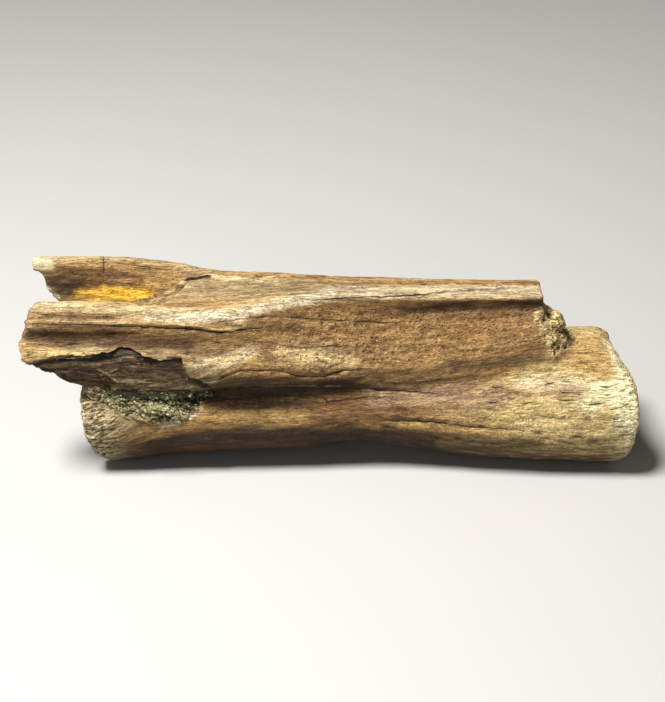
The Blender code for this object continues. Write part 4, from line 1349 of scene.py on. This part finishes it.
class FossilBoneSettings(bpy.types.PropertyGroup):
    voxel: length_property("Mesh size", "Edge length of the bone's mesh", 0.36, min=0.0002, precision=5)
    # Cream is also the painted highlight on faces that turn up and on what stands proud.
    cream: colour_property("Cream", "Worn ridges and crests", "#cdbd90")
    chalk: colour_property("Chalk", "Weathered white areas", "#c6b99c")
    tan: colour_property("Tan", "Ordinary surface", "#9b7a48")
    russet: colour_property("Russet", "Warm brown flank", "#8d6a3e")
    brown: colour_property("Brown", "Darker bands", "#694a26")
    # Umber is also painted shade: in hollows, grooves, valleys, and on faces that turn down.
    umber: colour_property("Umber", "Dirt in hollows", "#3b2510")
    # Black is painted shade in the deepest hollows, under edges and under the belly.
    black: colour_property("Black", "Depth of hollows and cracks", "#170e06")
    # Gold is also a painted reflection low on the side.
    gold: colour_property("Gold", "Golden areas", "#b18e52")
    grey: colour_property("Grey", "Grey-beige areas", "#93805f")
    pink: colour_property("Pink grey", "Grey-pink area by the back end", "#8f7557")
    straw: colour_property("Straw", "Pale yellow and spongy bone", "#c6b079")
    pale: colour_property("Pale", "Yellowish cream rim", "#dcd2a6")
    slate: colour_property("Slate", "Face under the missing layer", "#7a644a")
    orange: colour_property("Orange", "Patch of ochre in the trough", "#f6c443")


class FossilRockSettings(bpy.types.PropertyGroup):
    granule: length_property("Granule", "Size of the coarse granules", 0.78, min=0.0003, precision=4)
    dark: colour_property("Dark", "Darkest grains", "#1f1c10")
    # Glint: pale grains, partly their own colour and partly a painted glint.
    green: colour_property("Green", "Green-grey grains", "#6e6a44")
    glint: colour_property("Glint", "Glassy pale grains", "#c6bf9c")
    bone: colour_property("Bone dust", "Bone-coloured dust on the low rim", "#a8946c")


class FossilStageSettings(bpy.types.PropertyGroup):
    floor: colour_property("Floor", "Pale floor", "#9c9a96")
    camera_distance: length_property("Camera distance", "From the bone's middle", CAMERA_DISTANCE, min=0.05)
    camera_elevation: FloatProperty(name="Camera elevation", description="Angle above the floor",
                                    default=CAMERA_RISE, subtype="ANGLE")
    aim_height: length_property("Aim height", "Height that the camera aims at", AIM_HEIGHT, precision=4)
    lens: FloatProperty(name="Lens", description="Focal length on a 36 mm sensor", default=LENS,
                        unit="CAMERA")
    key_power: FloatProperty(name="Key light", description="Power of the light above", default=4.9,
                             unit="POWER")
    fill_power: FloatProperty(name="Fill light", description="Power of the light in front", default=0.35,
                              unit="POWER")
    sky: FloatProperty(name="Sky", description="Strength of the light from all round", default=0.17)


class FOSSIL_OT_bone(bpy.types.Operator):
    """Makes the bone in place of the CAD node vertebra"""
    bl_idname = "fossil.bone"
    bl_label = "Bone"

    def execute(self, context):
        settings = context.scene.fossil_bone
        bone = bone_mesh(settings.voxel / MM)
        bone_colours(bone, settings)
        bone.data.materials.clear()
        bone.data.materials.append(bone_material())
        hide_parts("vertebra")
        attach(bone, "root")
        return {"FINISHED"}


class FOSSIL_OT_rock(bpy.types.Operator):
    """Makes the sandy rock in place of the CAD node side_rock"""
    bl_idname = "fossil.rock"
    bl_label = "Rock"

    def execute(self, context):
        settings = context.scene.fossil_rock
        rock = rock_mesh(settings)
        rock.data.materials.append(rock_material(settings))
        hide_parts("side_rock")
        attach(rock, "root")
        return {"FINISHED"}


def place_facing(name, data, place, toward):
    """An object of a light or a camera at its place, turned to look along a direction."""
    obj = bpy.data.objects.new(name, data)
    obj.location = place
    obj.rotation_mode = "QUATERNION"
    obj.rotation_quaternion = toward.to_track_quat("-Z", "Y")
    bpy.context.scene.collection.objects.link(obj)
    return obj


def area_light(name, place, aim, size, power):
    """A round soft light at its place, facing its aim."""
    light = bpy.data.lights.new(name, "AREA")
    light.shape, light.size, light.energy = "DISK", size, power
    place_facing(name, light, place, Vector(aim) - Vector(place))


def pale_sky(strength):
    """A world that is nearly white all round."""
    world = bpy.data.worlds.new("pale_sky")
    world.use_nodes = True
    background = world.node_tree.nodes["Background"]
    background.inputs["Color"].default_value = SKY_COLOUR
    background.inputs["Strength"].default_value = strength
    return world


def stage_camera(settings, aim):
    """The camera at its distance and elevation from the aim, in front of the bone's near side."""
    camera = bpy.data.cameras.new("camera")
    camera.sensor_fit, camera.sensor_width = "HORIZONTAL", SENSOR_WIDTH
    camera.lens = settings.lens
    camera.clip_start = 0.01
    rise = settings.camera_elevation
    away = Vector((0, -math.cos(rise), math.sin(rise)))
    return place_facing("camera", camera, Vector(aim) + away * settings.camera_distance, -away)


class FOSSIL_OT_stage(bpy.types.Operator):
    """Makes the pale floor, the soft lights, the sky and the camera"""
    bl_idname = "fossil.stage"
    bl_label = "Stage"

    def execute(self, context):
        settings, scene = context.scene.fossil_stage, context.scene
        corners = np.array([(-1, -1, 0), (1, -1, 0), (1, 1, 0), (-1, 1, 0)]) * FLOOR_HALF
        floor = mesh_object("pale_floor", corners, [np.array([[0, 1, 2, 3]])])
        floor.data.materials.append(floor_material(settings))
        aim = (0, 0, settings.aim_height)
        area_light("key_light", KEY_PLACE, aim, KEY_SIZE, settings.key_power)
        area_light("fill_light", FILL_PLACE, aim, FILL_SIZE, settings.fill_power)
        scene.world = pale_sky(settings.sky)
        scene.camera = stage_camera(settings, aim)
        scene.view_settings.view_transform = "Standard"
        return {"FINISHED"}


class FOSSIL_PT_panel(bpy.types.Panel):
    """Lists the fossil's pieces and their settings"""
    bl_idname = "FOSSIL_PT_panel"
    bl_label = "Fossil tail vertebra"
    bl_space_type = "VIEW_3D"
    bl_region_type = "UI"
    bl_category = "Fossil"

    def draw(self, context):
        scene = context.scene
        for operator, settings in (("fossil.bone", scene.fossil_bone), ("fossil.rock", scene.fossil_rock),
                                   ("fossil.stage", scene.fossil_stage)):
            box = self.layout.box()
            box.operator(operator)
            for name in settings.__annotations__:
                box.prop(settings, name)


CLASSES = (FossilBoneSettings, FossilRockSettings, FossilStageSettings, FOSSIL_OT_bone, FOSSIL_OT_rock,
           FOSSIL_OT_stage, FOSSIL_PT_panel)


def register():
    for cls in CLASSES:
        bpy.utils.register_class(cls)
    bpy.types.Scene.fossil_bone = PointerProperty(type=FossilBoneSettings)
    bpy.types.Scene.fossil_rock = PointerProperty(type=FossilRockSettings)
    bpy.types.Scene.fossil_stage = PointerProperty(type=FossilStageSettings)


def unregister():
    del bpy.types.Scene.fossil_bone, bpy.types.Scene.fossil_rock, bpy.types.Scene.fossil_stage
    for cls in reversed(CLASSES):
        bpy.utils.unregister_class(cls)


def main():
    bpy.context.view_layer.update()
    register()
    for make in (bpy.ops.fossil.bone, bpy.ops.fossil.rock, bpy.ops.fossil.stage):
        make()


if __name__ == "__main__":
    main()
